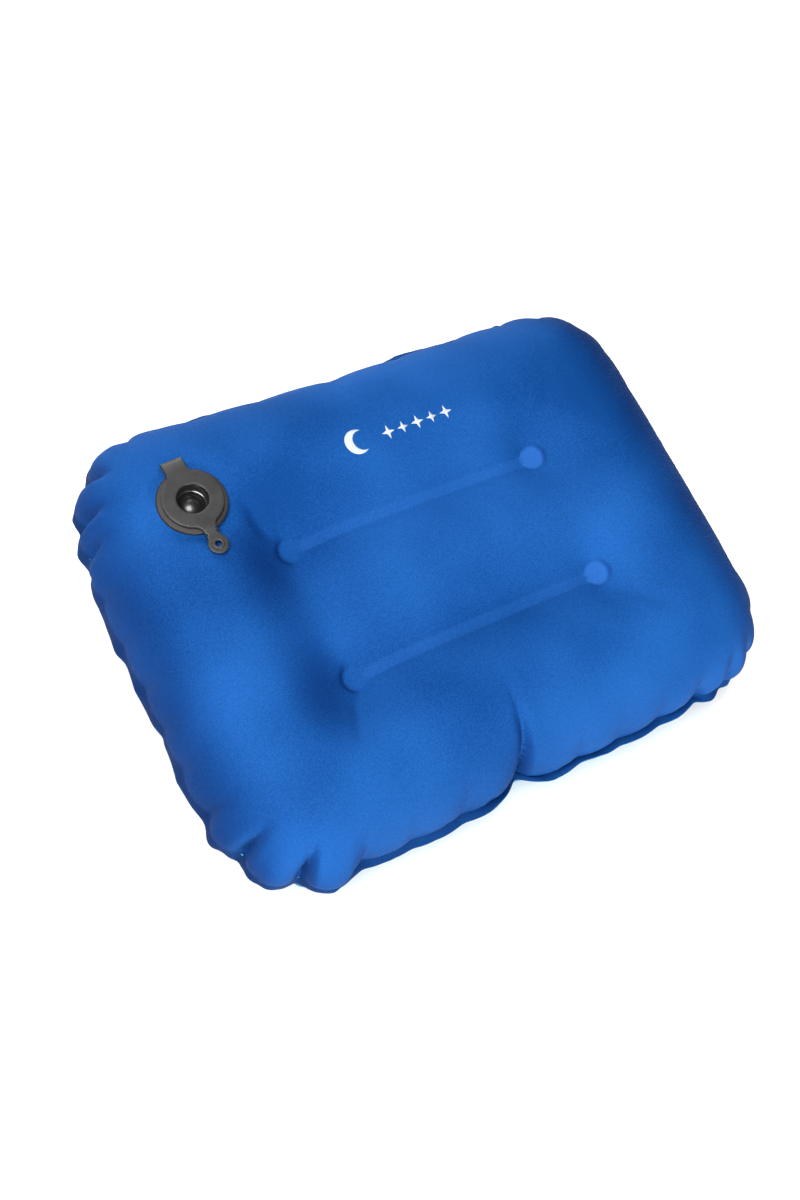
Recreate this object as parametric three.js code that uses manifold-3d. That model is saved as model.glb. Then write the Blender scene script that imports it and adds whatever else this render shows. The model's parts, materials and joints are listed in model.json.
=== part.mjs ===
// Inflatable camp pillow with a flat lift-lid valve. Millimetres, +Z up, +X along the length,
// +Y towards the back, and the origin under the middle of the pillow on the floor.
import * as THREE from 'three';
import { mergeVertices } from 'three/addons/utils/BufferGeometryUtils.js';
import Module from 'manifold-3d';

const wasm = await Module();
wasm.setup();

// ---------- driving dimensions ----------
const LENGTH = 400;            // inflated, over the welded flange
const DEPTH = 303;
const CORNER_RADIUS = 65;      // outer corner of the flange
const FLANGE_WIDTH = 8;        // both panels welded flat together
const BULGE_RUN = 52;          // how far in from the flange the side wall reaches its crest
const MID_HEIGHT = 52;         // height of the flange above the floor
const TOP_CREST = 53.5;        // crest of the top panel above the flange
const BOTTOM_CREST = 55;       // the bottom panel would sag this far, but the floor flattens it
const PANEL_WALL = 0.8;        // fabric and its air-tight coating, with a little body
const PLY_GAP = 0.3;           // clearance kept between neighbouring pieces

const WEB_LENGTH = 187;        // each inner web, over its round weld ends
const WEB_THICKNESS = 0.8;
const WEB_CENTRE_X = -4.5;
const REAR_WEB_Y = 36.5;
const FRONT_WEB_Y = -48.5;
const WEB_HALF_HEIGHT = 40;    // how far a web lets the panels rise from the flange plane
const GROOVE_REACH = 62;       // how far from a web the panel is back at its crest

const VALVE_X = -136.5;          // valve centre on the top panel
const VALVE_Y = 78.5;
const VALVE_PLANE = 48;        // height of the valve's seat above the flange plane
const VALVE_LEAN_X = -0.07;    // slope of the seat: its normal leans a little to the left end
const VALVE_LEAN_Y = 0.02;     // and to the back
const VALVE_TURN = THREE.MathUtils.degToRad(3.5);
const SEAT_FLAT_RADIUS = 34;   // panel held flat by the valve
const SEAT_BLEND_RADIUS = 60;

const BASE_RADIUS = 22;        // weld flange of the valve
const BASE_THICKNESS = 1.4;
const BORE_RADIUS = 12;        // deflation port
const BARREL_RADIUS = 13.5;
const BARREL_DEPTH = 9.5;
const SEAT_RING_RADIUS = 15;
const SEAT_RING_TOP = 2.7;
const LID_RADIUS = 19;
const LID_BOTTOM = 3.0;
const LID_TOP = 4.9;
const MOUTH_RADIUS = 9.7;      // hole that the pillow is blown up through
const LEDGE_RADIUS = 6.6;      // seat of the one-way flap
const LEDGE_TOP = -2.5;
const LEDGE_THICKNESS = 1.2;
const SPIGOT_TOP_RADIUS = 11.6;
const SPIGOT_TIP_RADIUS = 10.2;
const SPIGOT_TIP = -9;
const SKIRT_BORE_RADIUS = 8.9;
const STRAP_WIDTH = 13.8;
const STRAP_THICKNESS = 1.2;
const STRAP_FOLD = 27;         // distance from the valve's axis to the fold
const TAB_NECK_WIDTH = 8.6;
const TAB_CENTRE = 31;
const TAB_RADIUS = 7.4;
const TAB_HOLE_RADIUS = 2.1;
const FLAP_RADIUS = 8.2;
const FLAP_THICKNESS = 0.8;
const FLAP_DOME_TOP = -1.2;
const STEM_RADIUS = 1.25;
const STEM_BULB_RADIUS = 1.9;
const CAGE_TOP = -7.7;
const CAGE_THICKNESS = 1.1;
const CAGE_RADIUS = 8.6;
const CAGE_RIM = 1.3;
const HUB_RADIUS = 2.9;
const HUB_BORE_RADIUS = 1.6;
const SPOKES = 3;
const SPOKE_WIDTH = 1.5;

const ROUND_STEPS = 48;

// ---------- materials ----------
function finish(color, roughness, metalness = 0) {
  return new THREE.MeshStandardMaterial({ color, roughness, metalness });
}

// ---------- solids ----------
function toSolid(geometry) {
  const bare = geometry.clone();
  for (const name of Object.keys(bare.attributes)) {
    if (name !== 'position') bare.deleteAttribute(name);
  }
  const merged = mergeVertices(bare, 1e-4);
  return new wasm.Manifold(new wasm.Mesh({
    numProp: 3,
    vertProperties: new Float32Array(merged.attributes.position.array),
    triVerts: new Uint32Array(merged.index.array),
  }));
}

function toGeometry(solid) {
  const mesh = solid.getMesh();
  const geometry = new THREE.BufferGeometry();
  geometry.setAttribute('position', new THREE.BufferAttribute(new Float32Array(mesh.vertProperties), 3));
  geometry.setIndex(new THREE.BufferAttribute(new Uint32Array(mesh.triVerts), 1));
  geometry.computeVertexNormals();
  return geometry;
}

// Turned shape: [radius, height] pairs around +Z, listed so that the surface faces out.
function turned(profile) {
  const points = profile.map(([radius, height]) => new THREE.Vector2(radius, height));
  return new THREE.LatheGeometry(points, ROUND_STEPS).rotateX(Math.PI / 2);
}

function slab(shape, bottom, top) {
  return new THREE.ExtrudeGeometry(shape, { depth: top - bottom, bevelEnabled: false, curveSegments: 24 })
    .translate(0, 0, bottom);
}

function plate(x, y, width, depth, bottom, top) {
  return new THREE.BoxGeometry(width, depth, top - bottom).translate(x, y, (bottom + top) / 2);
}

function place(name, geometry, material) {
  const mesh = new THREE.Mesh(geometry, material);
  mesh.name = name;
  return mesh;
}

// ---------- pillow surface ----------
// Where the panels run: a ring is a rounded rectangle a given distance inside the flange's edge.
const CORNER_STEPS = 7;
const LONG_STEPS = 14;
const SHORT_STEPS = 9;

function ringPoints(inset) {
  const halfX = LENGTH / 2 - inset;
  const halfY = DEPTH / 2 - inset;
  const radius = Math.max(CORNER_RADIUS - inset, 3);
  const corners = [[1, 1], [-1, 1], [-1, -1], [1, -1]];
  const sideSteps = [LONG_STEPS, SHORT_STEPS, LONG_STEPS, SHORT_STEPS];
  const points = [];
  corners.forEach(([signX, signY], corner) => {
    const centre = new THREE.Vector2(signX * (halfX - radius), signY * (halfY - radius));
    for (let step = 0; step <= CORNER_STEPS; step += 1) {
      const angle = (Math.PI / 2) * (corner + step / CORNER_STEPS);
      points.push(new THREE.Vector2(Math.cos(angle), Math.sin(angle)).multiplyScalar(radius).add(centre));
    }
    const from = points[points.length - 1];
    const [nextX, nextY] = corners[(corner + 1) % 4];
    const nextAngle = (Math.PI / 2) * (corner + 1);
    const to = new THREE.Vector2(Math.cos(nextAngle), Math.sin(nextAngle)).multiplyScalar(radius)
      .add(new THREE.Vector2(nextX * (halfX - radius), nextY * (halfY - radius)));
    for (let step = 1; step < sideSteps[corner]; step += 1) {
      points.push(from.clone().lerp(to, step / sideSteps[corner]));
    }
  });
  return points;
}

function webDistance(x, y, webY) {
  const beyondEnd = Math.max(Math.abs(x - WEB_CENTRE_X) - WEB_LENGTH / 2, 0);
  return Math.hypot(beyondEnd, y - webY);
}

// Height of a panel's crest over a point, drawn in near the two webs.
function crestHeight(x, y, crest) {
  const pull = [REAR_WEB_Y, FRONT_WEB_Y]
    .map((webY) => Math.max(1 - webDistance(x, y, webY) / GROOVE_REACH, 0) ** 1.3)
    .reduce((sum, part) => sum + part, 0);
  return crest - (crest - WEB_HALF_HEIGHT) * Math.min(pull, 1);
}

function seatHeight(x, y) {
  return VALVE_PLANE - VALVE_LEAN_X * (x - VALVE_X) - VALVE_LEAN_Y * (y - VALVE_Y);
}

const RISE_STEPS = 5;
const PLATEAU_INSETS = [72, 84, 95, 103, 115, 127, 140];

// One skin of a panel as rings from the flange inwards. side is +1 for the top and -1 for the bottom,
// and skinInset is how far the skin lies inside the outer surface.
function skinRings(side, skinInset) {
  const ply = PLY_GAP / 2 + PANEL_WALL - skinInset;
  const crest = side > 0 ? TOP_CREST : BOTTOM_CREST;
  const flat = (points) => points.map((p) => new THREE.Vector3(p.x, p.y, MID_HEIGHT + side * ply));
  const rings = [flat(ringPoints(0)), flat(ringPoints(FLANGE_WIDTH + skinInset))];
  const lift = (p, rise) => {
    let height = (crestHeight(p.x, p.y, crest) - skinInset - ply) * rise + ply;
    if (side > 0) {
      const away = Math.hypot(p.x - VALVE_X, p.y - VALVE_Y);
      const hold = 1 - THREE.MathUtils.smoothstep(away, SEAT_FLAT_RADIUS, SEAT_BLEND_RADIUS);
      height = THREE.MathUtils.lerp(height, seatHeight(p.x, p.y) - skinInset, hold);
    }
    const floor = side < 0 ? skinInset : -Infinity;
    return new THREE.Vector3(p.x, p.y, Math.max(MID_HEIGHT + side * height, floor));
  };
  for (let step = 1; step <= RISE_STEPS; step += 1) {
    const angle = (Math.PI / 2) * (step / RISE_STEPS);
    const inset = FLANGE_WIDTH + skinInset + (BULGE_RUN - skinInset) * (1 - Math.cos(angle));
    rings.push(ringPoints(inset).map((p) => lift(p, Math.sin(angle))));
  }
  for (const inset of PLATEAU_INSETS) rings.push(ringPoints(inset).map((p) => lift(p, 1)));
  rings.push([lift(new THREE.Vector2(0, 0), 1)]);
  return rings;
}

// Triangles between successive rings, ending in a fan around the single last point.
function sweepRings(rings, positions, triangles, facing) {
  const starts = rings.map((ring) => {
    const start = positions.length / 3;
    ring.forEach((p) => positions.push(p.x, p.y, p.z));
    return start;
  });
  const add = (a, b, c) => triangles.push(...(facing > 0 ? [a, b, c] : [a, c, b]));
  for (let k = 0; k + 1 < rings.length; k += 1) {
    const count = rings[k].length;
    for (let i = 0; i < count; i += 1) {
      const j = (i + 1) % count;
      if (rings[k + 1].length === 1) {
        add(starts[k] + i, starts[k] + j, starts[k + 1]);
      } else {
        add(starts[k] + i, starts[k] + j, starts[k + 1] + j);
        add(starts[k] + i, starts[k + 1] + j, starts[k + 1] + i);
      }
    }
  }
  return starts[0];
}

function closedBody(outer, inner, facing) {
  const positions = [];
  const triangles = [];
  const outerStart = sweepRings(outer, positions, triangles, facing);
  const innerStart = sweepRings(inner, positions, triangles, -facing);
  const count = outer[0].length;
  for (let i = 0; i < count; i += 1) {
    const j = (i + 1) % count;
    const [a, b, c, d] = [outerStart + i, outerStart + j, innerStart + j, innerStart + i];
    triangles.push(...(facing > 0 ? [a, d, b, b, d, c] : [a, b, d, b, c, d]));
  }
  const geometry = new THREE.BufferGeometry();
  geometry.setAttribute('position', new THREE.BufferAttribute(new Float32Array(positions), 3));
  geometry.setIndex(triangles);
  return geometry;
}

function panelShell(side) {
  return closedBody(skinRings(side, 0), skinRings(side, PANEL_WALL), side);
}

// Everything between the panels, kept clear of both: what an inner web may fill.
function innerSpace() {
  const inset = PANEL_WALL + PLY_GAP;
  return toSolid(closedBody(skinRings(1, inset).slice(1), skinRings(-1, inset).slice(1), 1));
}

function webGeometry(space, webY) {
  const tall = plate(WEB_CENTRE_X, webY, WEB_LENGTH, WEB_THICKNESS, 0, 2 * MID_HEIGHT);
  return toGeometry(toSolid(tall).intersect(space));
}

// ---------- valve, in its own frame: origin on the panel, +Z out of the pillow ----------
function valveFrame() {
  const frame = new THREE.Group();
  const normal = new THREE.Vector3(VALVE_LEAN_X, VALVE_LEAN_Y, 1).normalize();
  const lean = new THREE.Quaternion().setFromUnitVectors(new THREE.Vector3(0, 0, 1), normal);
  const turn = new THREE.Quaternion().setFromAxisAngle(new THREE.Vector3(0, 0, 1), VALVE_TURN);
  frame.position.set(VALVE_X, VALVE_Y, MID_HEIGHT + VALVE_PLANE);
  frame.quaternion.copy(lean.multiply(turn));
  frame.updateMatrixWorld(true);
  return frame;
}

function strapPlate(bottom) {
  const start = LID_RADIUS - 4;
  return plate(0, (start + STRAP_FOLD) / 2, STRAP_WIDTH, STRAP_FOLD - start, bottom, bottom + STRAP_THICKNESS);
}

function valveBase() {
  const body = toSolid(turned([
    [BORE_RADIUS, -BARREL_DEPTH], [BARREL_RADIUS, -BARREL_DEPTH], [BARREL_RADIUS, PLY_GAP],
    [BASE_RADIUS, PLY_GAP], [BASE_RADIUS, PLY_GAP + BASE_THICKNESS],
    [SEAT_RING_RADIUS, PLY_GAP + BASE_THICKNESS], [SEAT_RING_RADIUS, SEAT_RING_TOP],
    [BORE_RADIUS, SEAT_RING_TOP], [BORE_RADIUS, -BARREL_DEPTH],
  ]));
  return toGeometry(body.add(toSolid(strapPlate(PLY_GAP))));
}

function pullTab() {
  const shape = new THREE.Shape();
  const half = TAB_NECK_WIDTH / 2;
  const join = Math.asin(half / TAB_RADIUS);
  shape.moveTo(half, -LID_RADIUS + 3);
  shape.lineTo(-half, -LID_RADIUS + 3);
  shape.lineTo(-half, -TAB_CENTRE + Math.cos(join) * TAB_RADIUS);
  shape.absarc(0, -TAB_CENTRE, TAB_RADIUS, Math.PI / 2 + join, Math.PI / 2 - join + 2 * Math.PI, false);
  shape.lineTo(half, -LID_RADIUS + 3);
  const hole = new THREE.Path();
  hole.absarc(0, -TAB_CENTRE, TAB_HOLE_RADIUS, 0, 2 * Math.PI, true);
  shape.holes.push(hole);
  return slab(shape, LID_BOTTOM, LID_TOP - 0.4);
}

function valveLid() {
  const ledgeBottom = LEDGE_TOP - LEDGE_THICKNESS;
  const body = toSolid(turned([
    [MOUTH_RADIUS - 0.4, LEDGE_TOP], [LEDGE_RADIUS, LEDGE_TOP], [LEDGE_RADIUS, ledgeBottom],
    [SKIRT_BORE_RADIUS, ledgeBottom], [SKIRT_BORE_RADIUS, SPIGOT_TIP], [SPIGOT_TIP_RADIUS, SPIGOT_TIP],
    [SPIGOT_TOP_RADIUS, LID_BOTTOM], [LID_RADIUS, LID_BOTTOM], [LID_RADIUS, LID_TOP - 0.4],
    [LID_RADIUS - 0.4, LID_TOP], [MOUTH_RADIUS, LID_TOP], [MOUTH_RADIUS - 0.4, LEDGE_TOP],
  ]));
  return toGeometry(body.add(toSolid(strapPlate(LID_BOTTOM))).add(toSolid(pullTab())));
}

function checkFlap() {
  const rimTop = LEDGE_TOP - LEDGE_THICKNESS - PLY_GAP;
  const rimBottom = rimTop - FLAP_THICKNESS;
  const hubBottom = CAGE_TOP - CAGE_THICKNESS;
  const domeRadius = LEDGE_RADIUS - 0.5;
  const profile = [
    [0, hubBottom - 2.2], [STEM_BULB_RADIUS * 0.8, hubBottom - 1.9], [STEM_BULB_RADIUS, hubBottom - 1.2],
    [STEM_BULB_RADIUS * 0.8, hubBottom - 0.5], [STEM_RADIUS, hubBottom - 0.5], [STEM_RADIUS, rimBottom],
    [FLAP_RADIUS, rimBottom], [FLAP_RADIUS, rimTop], [domeRadius, rimTop],
  ];
  const domeSteps = 6;
  for (let step = 1; step < domeSteps; step += 1) {
    const angle = (Math.PI / 2) * (step / domeSteps);
    profile.push([domeRadius * Math.cos(angle), rimTop + (FLAP_DOME_TOP - rimTop) * Math.sin(angle)]);
  }
  profile.push([0, FLAP_DOME_TOP]);
  return toGeometry(toSolid(turned(profile)));
}

function flapCage() {
  const bottom = CAGE_TOP - CAGE_THICKNESS;
  const ring = (outer, inner) => toSolid(turned([
    [inner, bottom], [outer, bottom], [outer, CAGE_TOP], [inner, CAGE_TOP], [inner, bottom],
  ]));
  let cage = ring(CAGE_RADIUS, CAGE_RADIUS - CAGE_RIM).add(ring(HUB_RADIUS, HUB_BORE_RADIUS));
  for (let k = 0; k < SPOKES; k += 1) {
    const middle = (HUB_RADIUS + CAGE_RADIUS - CAGE_RIM) / 2;
    const reach = CAGE_RADIUS - CAGE_RIM - HUB_RADIUS + 0.8;
    const spoke = plate(0, middle, SPOKE_WIDTH, reach, bottom, CAGE_TOP)
      .rotateZ((2 * Math.PI * k) / SPOKES);
    cage = cage.add(toSolid(spoke));
  }
  return toGeometry(cage);
}

// ---------- assembly ----------
const topFabric = finish(0x2563be, 0.75);
const bottomFabric = finish(0x6eaac8, 0.75);
const webFilm = finish(0xd8dcdf, 0.6);
const valveRubber = finish(0x464648, 0.55);
const lidRubber = finish(0x4b4b4d, 0.5);
const flapSilicone = finish(0x101012, 0.25);
const cagePlastic = finish(0x2a2a2c, 0.5);

const valve = valveFrame();
valve.add(
  place('valve_base', valveBase(), valveRubber),
  place('valve_lid', valveLid(), lidRubber),
  place('check_flap', checkFlap(), flapSilicone),
  place('flap_cage', flapCage(), cagePlastic),
);

// The hole in the top panel that the valve's barrel drops through.
function portCutter() {
  const cutter = new THREE.CylinderGeometry(BARREL_RADIUS + 0.6, BARREL_RADIUS + 0.6, 30, ROUND_STEPS)
    .rotateX(Math.PI / 2);
  return toSolid(cutter.applyMatrix4(valve.matrixWorld));
}

const space = innerSpace();
const topPanel = toGeometry(toSolid(panelShell(1)).subtract(portCutter()));
const bottomPanel = toGeometry(toSolid(panelShell(-1)));

const pillow = new THREE.Group();
pillow.add(
  place('top_panel', topPanel, topFabric),
  place('bottom_panel', bottomPanel, bottomFabric),
  place('rear_baffle', webGeometry(space, REAR_WEB_Y), webFilm),
  place('front_baffle', webGeometry(space, FRONT_WEB_Y), webFilm.clone()),
  valve,
);

export default pillow;
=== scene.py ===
"""Inflatable camp pillow: two welded fabric skins, two inner webs and a flat lift-lid valve.

The skins are blown up by a cloth simulation, pinned where the real fabric is held: along the
welds of the inner webs, under the valve and at the puckers of the welded flange. The valve's
pieces are turned and extruded around the valve axis that the frame's joints give.
"""
import json
import logging
import math
from collections.abc import Iterable, Sequence
from dataclasses import dataclass, field
from enum import Enum

import bmesh
import bpy
import numpy as np
from mathutils import Matrix, Vector
from mathutils.bvhtree import BVHTree
from mathutils.geometry import delaunay_2d_cdt


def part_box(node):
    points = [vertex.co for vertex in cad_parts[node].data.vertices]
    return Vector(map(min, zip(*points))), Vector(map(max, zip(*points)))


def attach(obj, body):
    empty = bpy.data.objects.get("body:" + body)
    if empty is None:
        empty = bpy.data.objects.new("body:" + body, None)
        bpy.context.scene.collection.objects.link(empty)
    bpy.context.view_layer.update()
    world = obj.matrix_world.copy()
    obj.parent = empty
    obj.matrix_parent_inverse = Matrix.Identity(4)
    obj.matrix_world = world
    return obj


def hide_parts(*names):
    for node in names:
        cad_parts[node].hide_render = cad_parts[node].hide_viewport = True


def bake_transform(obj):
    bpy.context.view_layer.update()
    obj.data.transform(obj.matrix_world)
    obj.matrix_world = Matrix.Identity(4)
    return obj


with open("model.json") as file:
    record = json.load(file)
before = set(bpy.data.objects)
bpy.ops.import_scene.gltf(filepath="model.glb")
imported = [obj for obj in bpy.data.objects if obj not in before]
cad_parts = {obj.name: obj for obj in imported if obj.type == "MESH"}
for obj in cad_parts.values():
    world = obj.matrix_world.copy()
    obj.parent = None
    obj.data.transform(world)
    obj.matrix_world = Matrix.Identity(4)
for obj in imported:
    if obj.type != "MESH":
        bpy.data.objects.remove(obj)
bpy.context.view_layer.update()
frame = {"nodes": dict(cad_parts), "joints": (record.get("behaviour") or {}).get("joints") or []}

log = logging.getLogger("camp_pillow")
MM = 0.001
Point2 = tuple[float, float]
Colour = tuple[float, float, float, float]


class Side(Enum):
    """Which skin of the pillow a surface belongs to."""

    TOP = 1
    BOTTOM = -1


# ---------------------------------------------------------------- outline and welds
@dataclass(frozen=True)
class Outline:
    """The rounded rectangle of the inflated pillow, over its welded flange.

    Attributes:
        half_length: half the size along X.
        half_depth: half the size along Y.
        corner: corner radius of the inflated outline.
        slack: how much deeper the flat-cut sheet reaches than the inflated outline, because the
            side wall is taller than it is wide.
    """

    half_length: float
    half_depth: float
    corner: float
    slack: float

    def perimeter(self) -> float:
        """Length of the inflated outline."""
        straight = 4 * (self.half_length + self.half_depth - 2 * self.corner)
        return straight + 2 * math.pi * self.corner

    def at(self, along: float) -> tuple[Vector, Vector]:
        """A point of the inflated outline.

        Args:
            along: distance along the outline, anticlockwise from the front of the right end.

        Returns:
            The point and the outward direction there.
        """
        left = along % self.perimeter()
        core = (self.half_length - self.corner, self.half_depth - self.corner)
        reach = (self.half_length, self.half_depth)
        out = Vector((1, 0))
        for quarter in range(4):
            turn = quarter * math.pi / 2
            out = Vector((math.cos(turn), math.sin(turn)))
            side = Vector((-out.y, out.x))
            run = 2 * core[1 - quarter % 2]
            if left < run:
                return out * reach[quarter % 2] + side * (left - run / 2), out
            left -= run
            if left < self.corner * math.pi / 2:
                turn += left / self.corner
                centre = out * core[quarter % 2] + side * run / 2
                out = Vector((math.cos(turn), math.sin(turn)))
                return centre + out * self.corner, out
            left -= self.corner * math.pi / 2
        return self.at(0.0)

    def nearest(self, x: float, y: float) -> float:
        """The outline's point nearest to a spot.

        Args:
            x: the spot's place along the length.
            y: its place across the depth.

        Returns:
            The nearest point's distance along the outline.
        """
        steps = 4000
        spot = Vector((x, y))
        length = self.perimeter()
        best = min(range(steps), key=lambda k: (self.at(length * k / steps)[0] - spot).length)
        return length * best / steps

    def stations(self, marks: list[float], step: float) -> list[float]:
        """Divides the outline evenly between marks.

        Args:
            marks: distances along the outline that have to be among the stations.
            step: about how far apart the stations are.

        Returns:
            The distance of each station along the outline.
        """
        ordered = sorted(marks)
        found: list[float] = []
        for start, end in zip(ordered, ordered[1:] + [ordered[0] + self.perimeter()]):
            count = max(1, round((end - start) / step))
            found += [start + (end - start) * k / count for k in range(count)]
        return found

    def ring(self, depth: float, stations: list[float]) -> list[Point2]:
        """A ring of the flat-cut sheet.

        Args:
            depth: how far inside the sheet's edge it runs.
            stations: distances along the outline.

        Returns:
            One point for each station.
        """
        points = []
        for along in stations:
            edge, out = self.at(along)
            points.append(tuple(edge + out * (self.slack - depth)))
        return points

    def measure(self, x: np.ndarray, y: np.ndarray) -> tuple[np.ndarray, np.ndarray, np.ndarray]:
        """Where points of the flat-cut sheet lie against the edge.

        Args:
            x: flat X of each point.
            y: flat Y of each point.

        Returns:
            The depth inside the sheet's edge, the nearest point of the inflated outline, and the
            outward direction there, the last two as N x 2 arrays.
        """
        core_x, core_y = self.half_length - self.corner, self.half_depth - self.corner
        over_x, over_y = np.abs(x) - core_x, np.abs(y) - core_y
        sx, sy = np.where(x < 0, -1.0, 1.0), np.where(y < 0, -1.0, 1.0)
        in_corner = (over_x > 0) & (over_y > 0)
        reach = np.where(in_corner, np.hypot(over_x, over_y), np.maximum(over_x, over_y))
        depth = self.corner + self.slack - reach
        long_side = over_y > over_x
        safe = np.maximum(reach, 1e-9)
        out = np.stack([
            np.where(in_corner, sx * over_x / safe, np.where(long_side, 0.0, sx)),
            np.where(in_corner, sy * over_y / safe, np.where(long_side, sy, 0.0)),
        ], axis=1)
        core = np.stack([
            np.where(in_corner, sx * core_x, np.where(long_side, x, sx * core_x)),
            np.where(in_corner, sy * core_y, np.where(long_side, sy * core_y, y)),
        ], axis=1)
        return depth, core + out * self.corner, out


@dataclass(frozen=True)
class Stretch:
    """A stretch of the outline at one end or side of the pillow, which grows in from nothing.

    Attributes:
        across: whether it is measured across the depth, not along the length.
        sign: 1 for the right end or the back, -1 for the left end or the front.
        start: distance from the pillow's middle where it begins.
        over: length over which it grows.
        full: its share where it is full.
    """

    across: bool
    sign: int
    start: float
    over: float
    full: float = 1.0

    def share(self, edge: np.ndarray) -> np.ndarray:
        """The stretch's share at points of the outline."""
        place = self.sign * edge[:, int(self.across)]
        return self.full * np.clip((place - self.start) / self.over, 0, 1)


# the front, and where the flange is turned down under the bulge
FRONT = Stretch(True, -1, 0.115, 0.025)
TUCKED = (Stretch(False, -1, 0.105, 0.05), Stretch(False, 1, 0.125, 0.05, 0.85),
          Stretch(True, 1, 0.10, 0.04, 0.45))


@dataclass(frozen=True)
class Weld:
    """The weld of one inner web: a straight band that ends in two round pads.

    Attributes:
        centre_x: middle of the weld along X.
        y: where the weld lies across the depth.
        span: distance between the centres of its pads.
        band: half the width of its band.
        pad: radius of its pads.
        band_tone: how pressed the cloth looks on the band.
        pad_press_and_light: share of the pressed tone on the left and the right pad. The welds' paler tone
            is real. The right pads get nearly all of it, which is painted light, and the left pads nearly
            none, which is painted shade.
        sink: how deep the skin dips around the left and the right pad.
        sink_shift: how far each dip's middle lies from its pad.
        sink_width: how far the dips spread.
        raised: how far the weld stands up at its left pad and elsewhere.
        moat: depth of the moat around the weld, its distance from the weld, and its width.
        tilt: slope of the band towards the front.
        lean: slope of the left and the right pad away from the weld's middle.
        lean_fade: how far outside the weld the lean is felt.
    """

    centre_x: float
    y: float
    span: float
    band: float = 2.8 * MM
    pad: float = 7.2 * MM
    band_tone: float = 0.22
    # Painted light and shade: the right pads take nearly the full pale pressed tone and the left pads
    # nearly none, to show how the light falls on them.
    pad_press_and_light: tuple[float, float] = (0.05, 0.95)
    sink: tuple[float, float] = (3.5 * MM, 3.0 * MM)
    sink_shift: tuple[float, float] = (-4 * MM, 2 * MM)
    sink_width: float = 19 * MM
    raised: tuple[float, float] = (0.05 * MM, 0.25 * MM)
    moat: tuple[float, float, float] = (0.38 * MM, 1.1 * MM, 1.5 * MM)
    tilt: float = 0.10
    lean: tuple[float, float] = (0.10, 0.18)
    lean_fade: float = 7 * MM

    def sag(self, x: np.ndarray, y: np.ndarray) -> np.ndarray:
        """How much deeper the skin is drawn in around the two pads.

        Args:
            x: flat X of each point.
            y: flat Y of each point.

        Returns:
            The depth at each point.
        """
        total = np.zeros_like(x)
        for (px, py), depth, shift in zip(self.pads(), self.sink, self.sink_shift):
            total += depth * np.exp(-(np.hypot(x - px - shift, y - py) / self.sink_width) ** 2)
        return total

    def pads(self) -> list[Point2]:
        """Centres of the two round pads."""
        return [(self.centre_x - self.span / 2, self.y), (self.centre_x + self.span / 2, self.y)]

    def line_distance(self, x: np.ndarray, y: np.ndarray) -> np.ndarray:
        """Distance of points from the weld's middle line."""
        beyond = np.maximum(np.abs(x - self.centre_x) - self.span / 2, 0.0)
        return np.hypot(beyond, y - self.y)

    def edge_distance(self, x: np.ndarray, y: np.ndarray) -> np.ndarray:
        """Signed distance of points from the weld's outline.

        Args:
            x: flat X of each point.
            y: flat Y of each point.

        Returns:
            The distances, negative on the weld.
        """
        distance = self.line_distance(x, y) - self.band
        for px, py in self.pads():
            distance = np.minimum(distance, np.hypot(x - px, y - py) - self.pad)
        return distance

    def relief(self, x: np.ndarray, y: np.ndarray) -> np.ndarray:
        """Fine relief of the weld: raised band and pads, a moat around them and the lean of the pads.

        Args:
            x: flat X of each point.
            y: flat Y of each point.

        Returns:
            How much further out the skin stands at each point.
        """
        gap = self.edge_distance(x, y)
        on_weld = gap < 0.1 * MM
        left_pad = x < self.centre_x - self.span / 2 + self.pad
        raised = np.where(on_weld, np.where(left_pad, *self.raised), 0)
        sunk, away, width = self.moat
        moat = np.where(on_weld, 0, -sunk * np.exp(-((gap - away) / width) ** 2))
        on_band = on_weld & (self.line_distance(x, y) < self.band * 1.05)
        tilt = np.where(on_band, self.tilt * (y - self.y), 0)
        outer = np.abs(x - self.centre_x) - self.span / 2
        near_pad = np.clip((outer + 2.5 * self.pad) / (1.5 * self.pad), 0, 1)
        lean = np.where(x < 0, *self.lean) * np.clip(outer + self.pad, 0, 2 * self.pad) * near_pad
        return raised + moat + tilt + lean * np.exp(-(np.maximum(gap, 0) / self.lean_fade) ** 2)

    def outline(self, step: float, grow: float = 0.0) -> list[Point2]:
        """Points around the weld, for the sheet's mesh to follow.

        Args:
            step: spacing of the points.
            grow: how far outside the weld the points run.

        Returns:
            A closed list of points.
        """
        band, pad = self.band + grow, self.pad + grow
        meet = math.asin(band / pad)
        points: list[Point2] = []
        for end, (px, py) in zip((math.pi, 0.0), self.pads()):
            sweep = 2 * (math.pi - meet)
            steps = max(8, round(sweep * pad / step))
            for k in range(steps + 1):
                angle = end - sweep / 2 + sweep * k / steps
                points.append((px + pad * math.cos(angle), py + pad * math.sin(angle)))
            sign = 1 if end else -1
            first = px + sign * pad * math.cos(meet)
            last = self.centre_x + sign * (self.span / 2 - pad * math.cos(meet))
            steps = round((self.span - 2 * pad) / step)
            edge = py - sign * band
            points += [(first + (last - first) * k / steps, edge) for k in range(1, steps)]
        return points


@dataclass(frozen=True)
class Valley:
    """The long dip of the skin beside the left ends of both welds.

    Attributes:
        x: where the dip's line lies along the length.
        low_y: front end of the line.
        high_y: back end of the line.
        depth: how deep the dip is.
        width: how far it spreads.
    """

    x: float = -0.100
    low_y: float = -0.0485
    high_y: float = 0.0365
    depth: float = 9.0 * MM
    width: float = 33 * MM

    def dip(self, x: np.ndarray, y: np.ndarray) -> np.ndarray:
        """How much lower the skin lies at points of the sheet."""
        beyond = np.maximum(np.maximum(self.low_y - y, y - self.high_y), 0)
        return self.depth * np.exp(-(np.hypot(x - self.x, beyond) / self.width) ** 2)


VALLEY = Valley()


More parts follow.
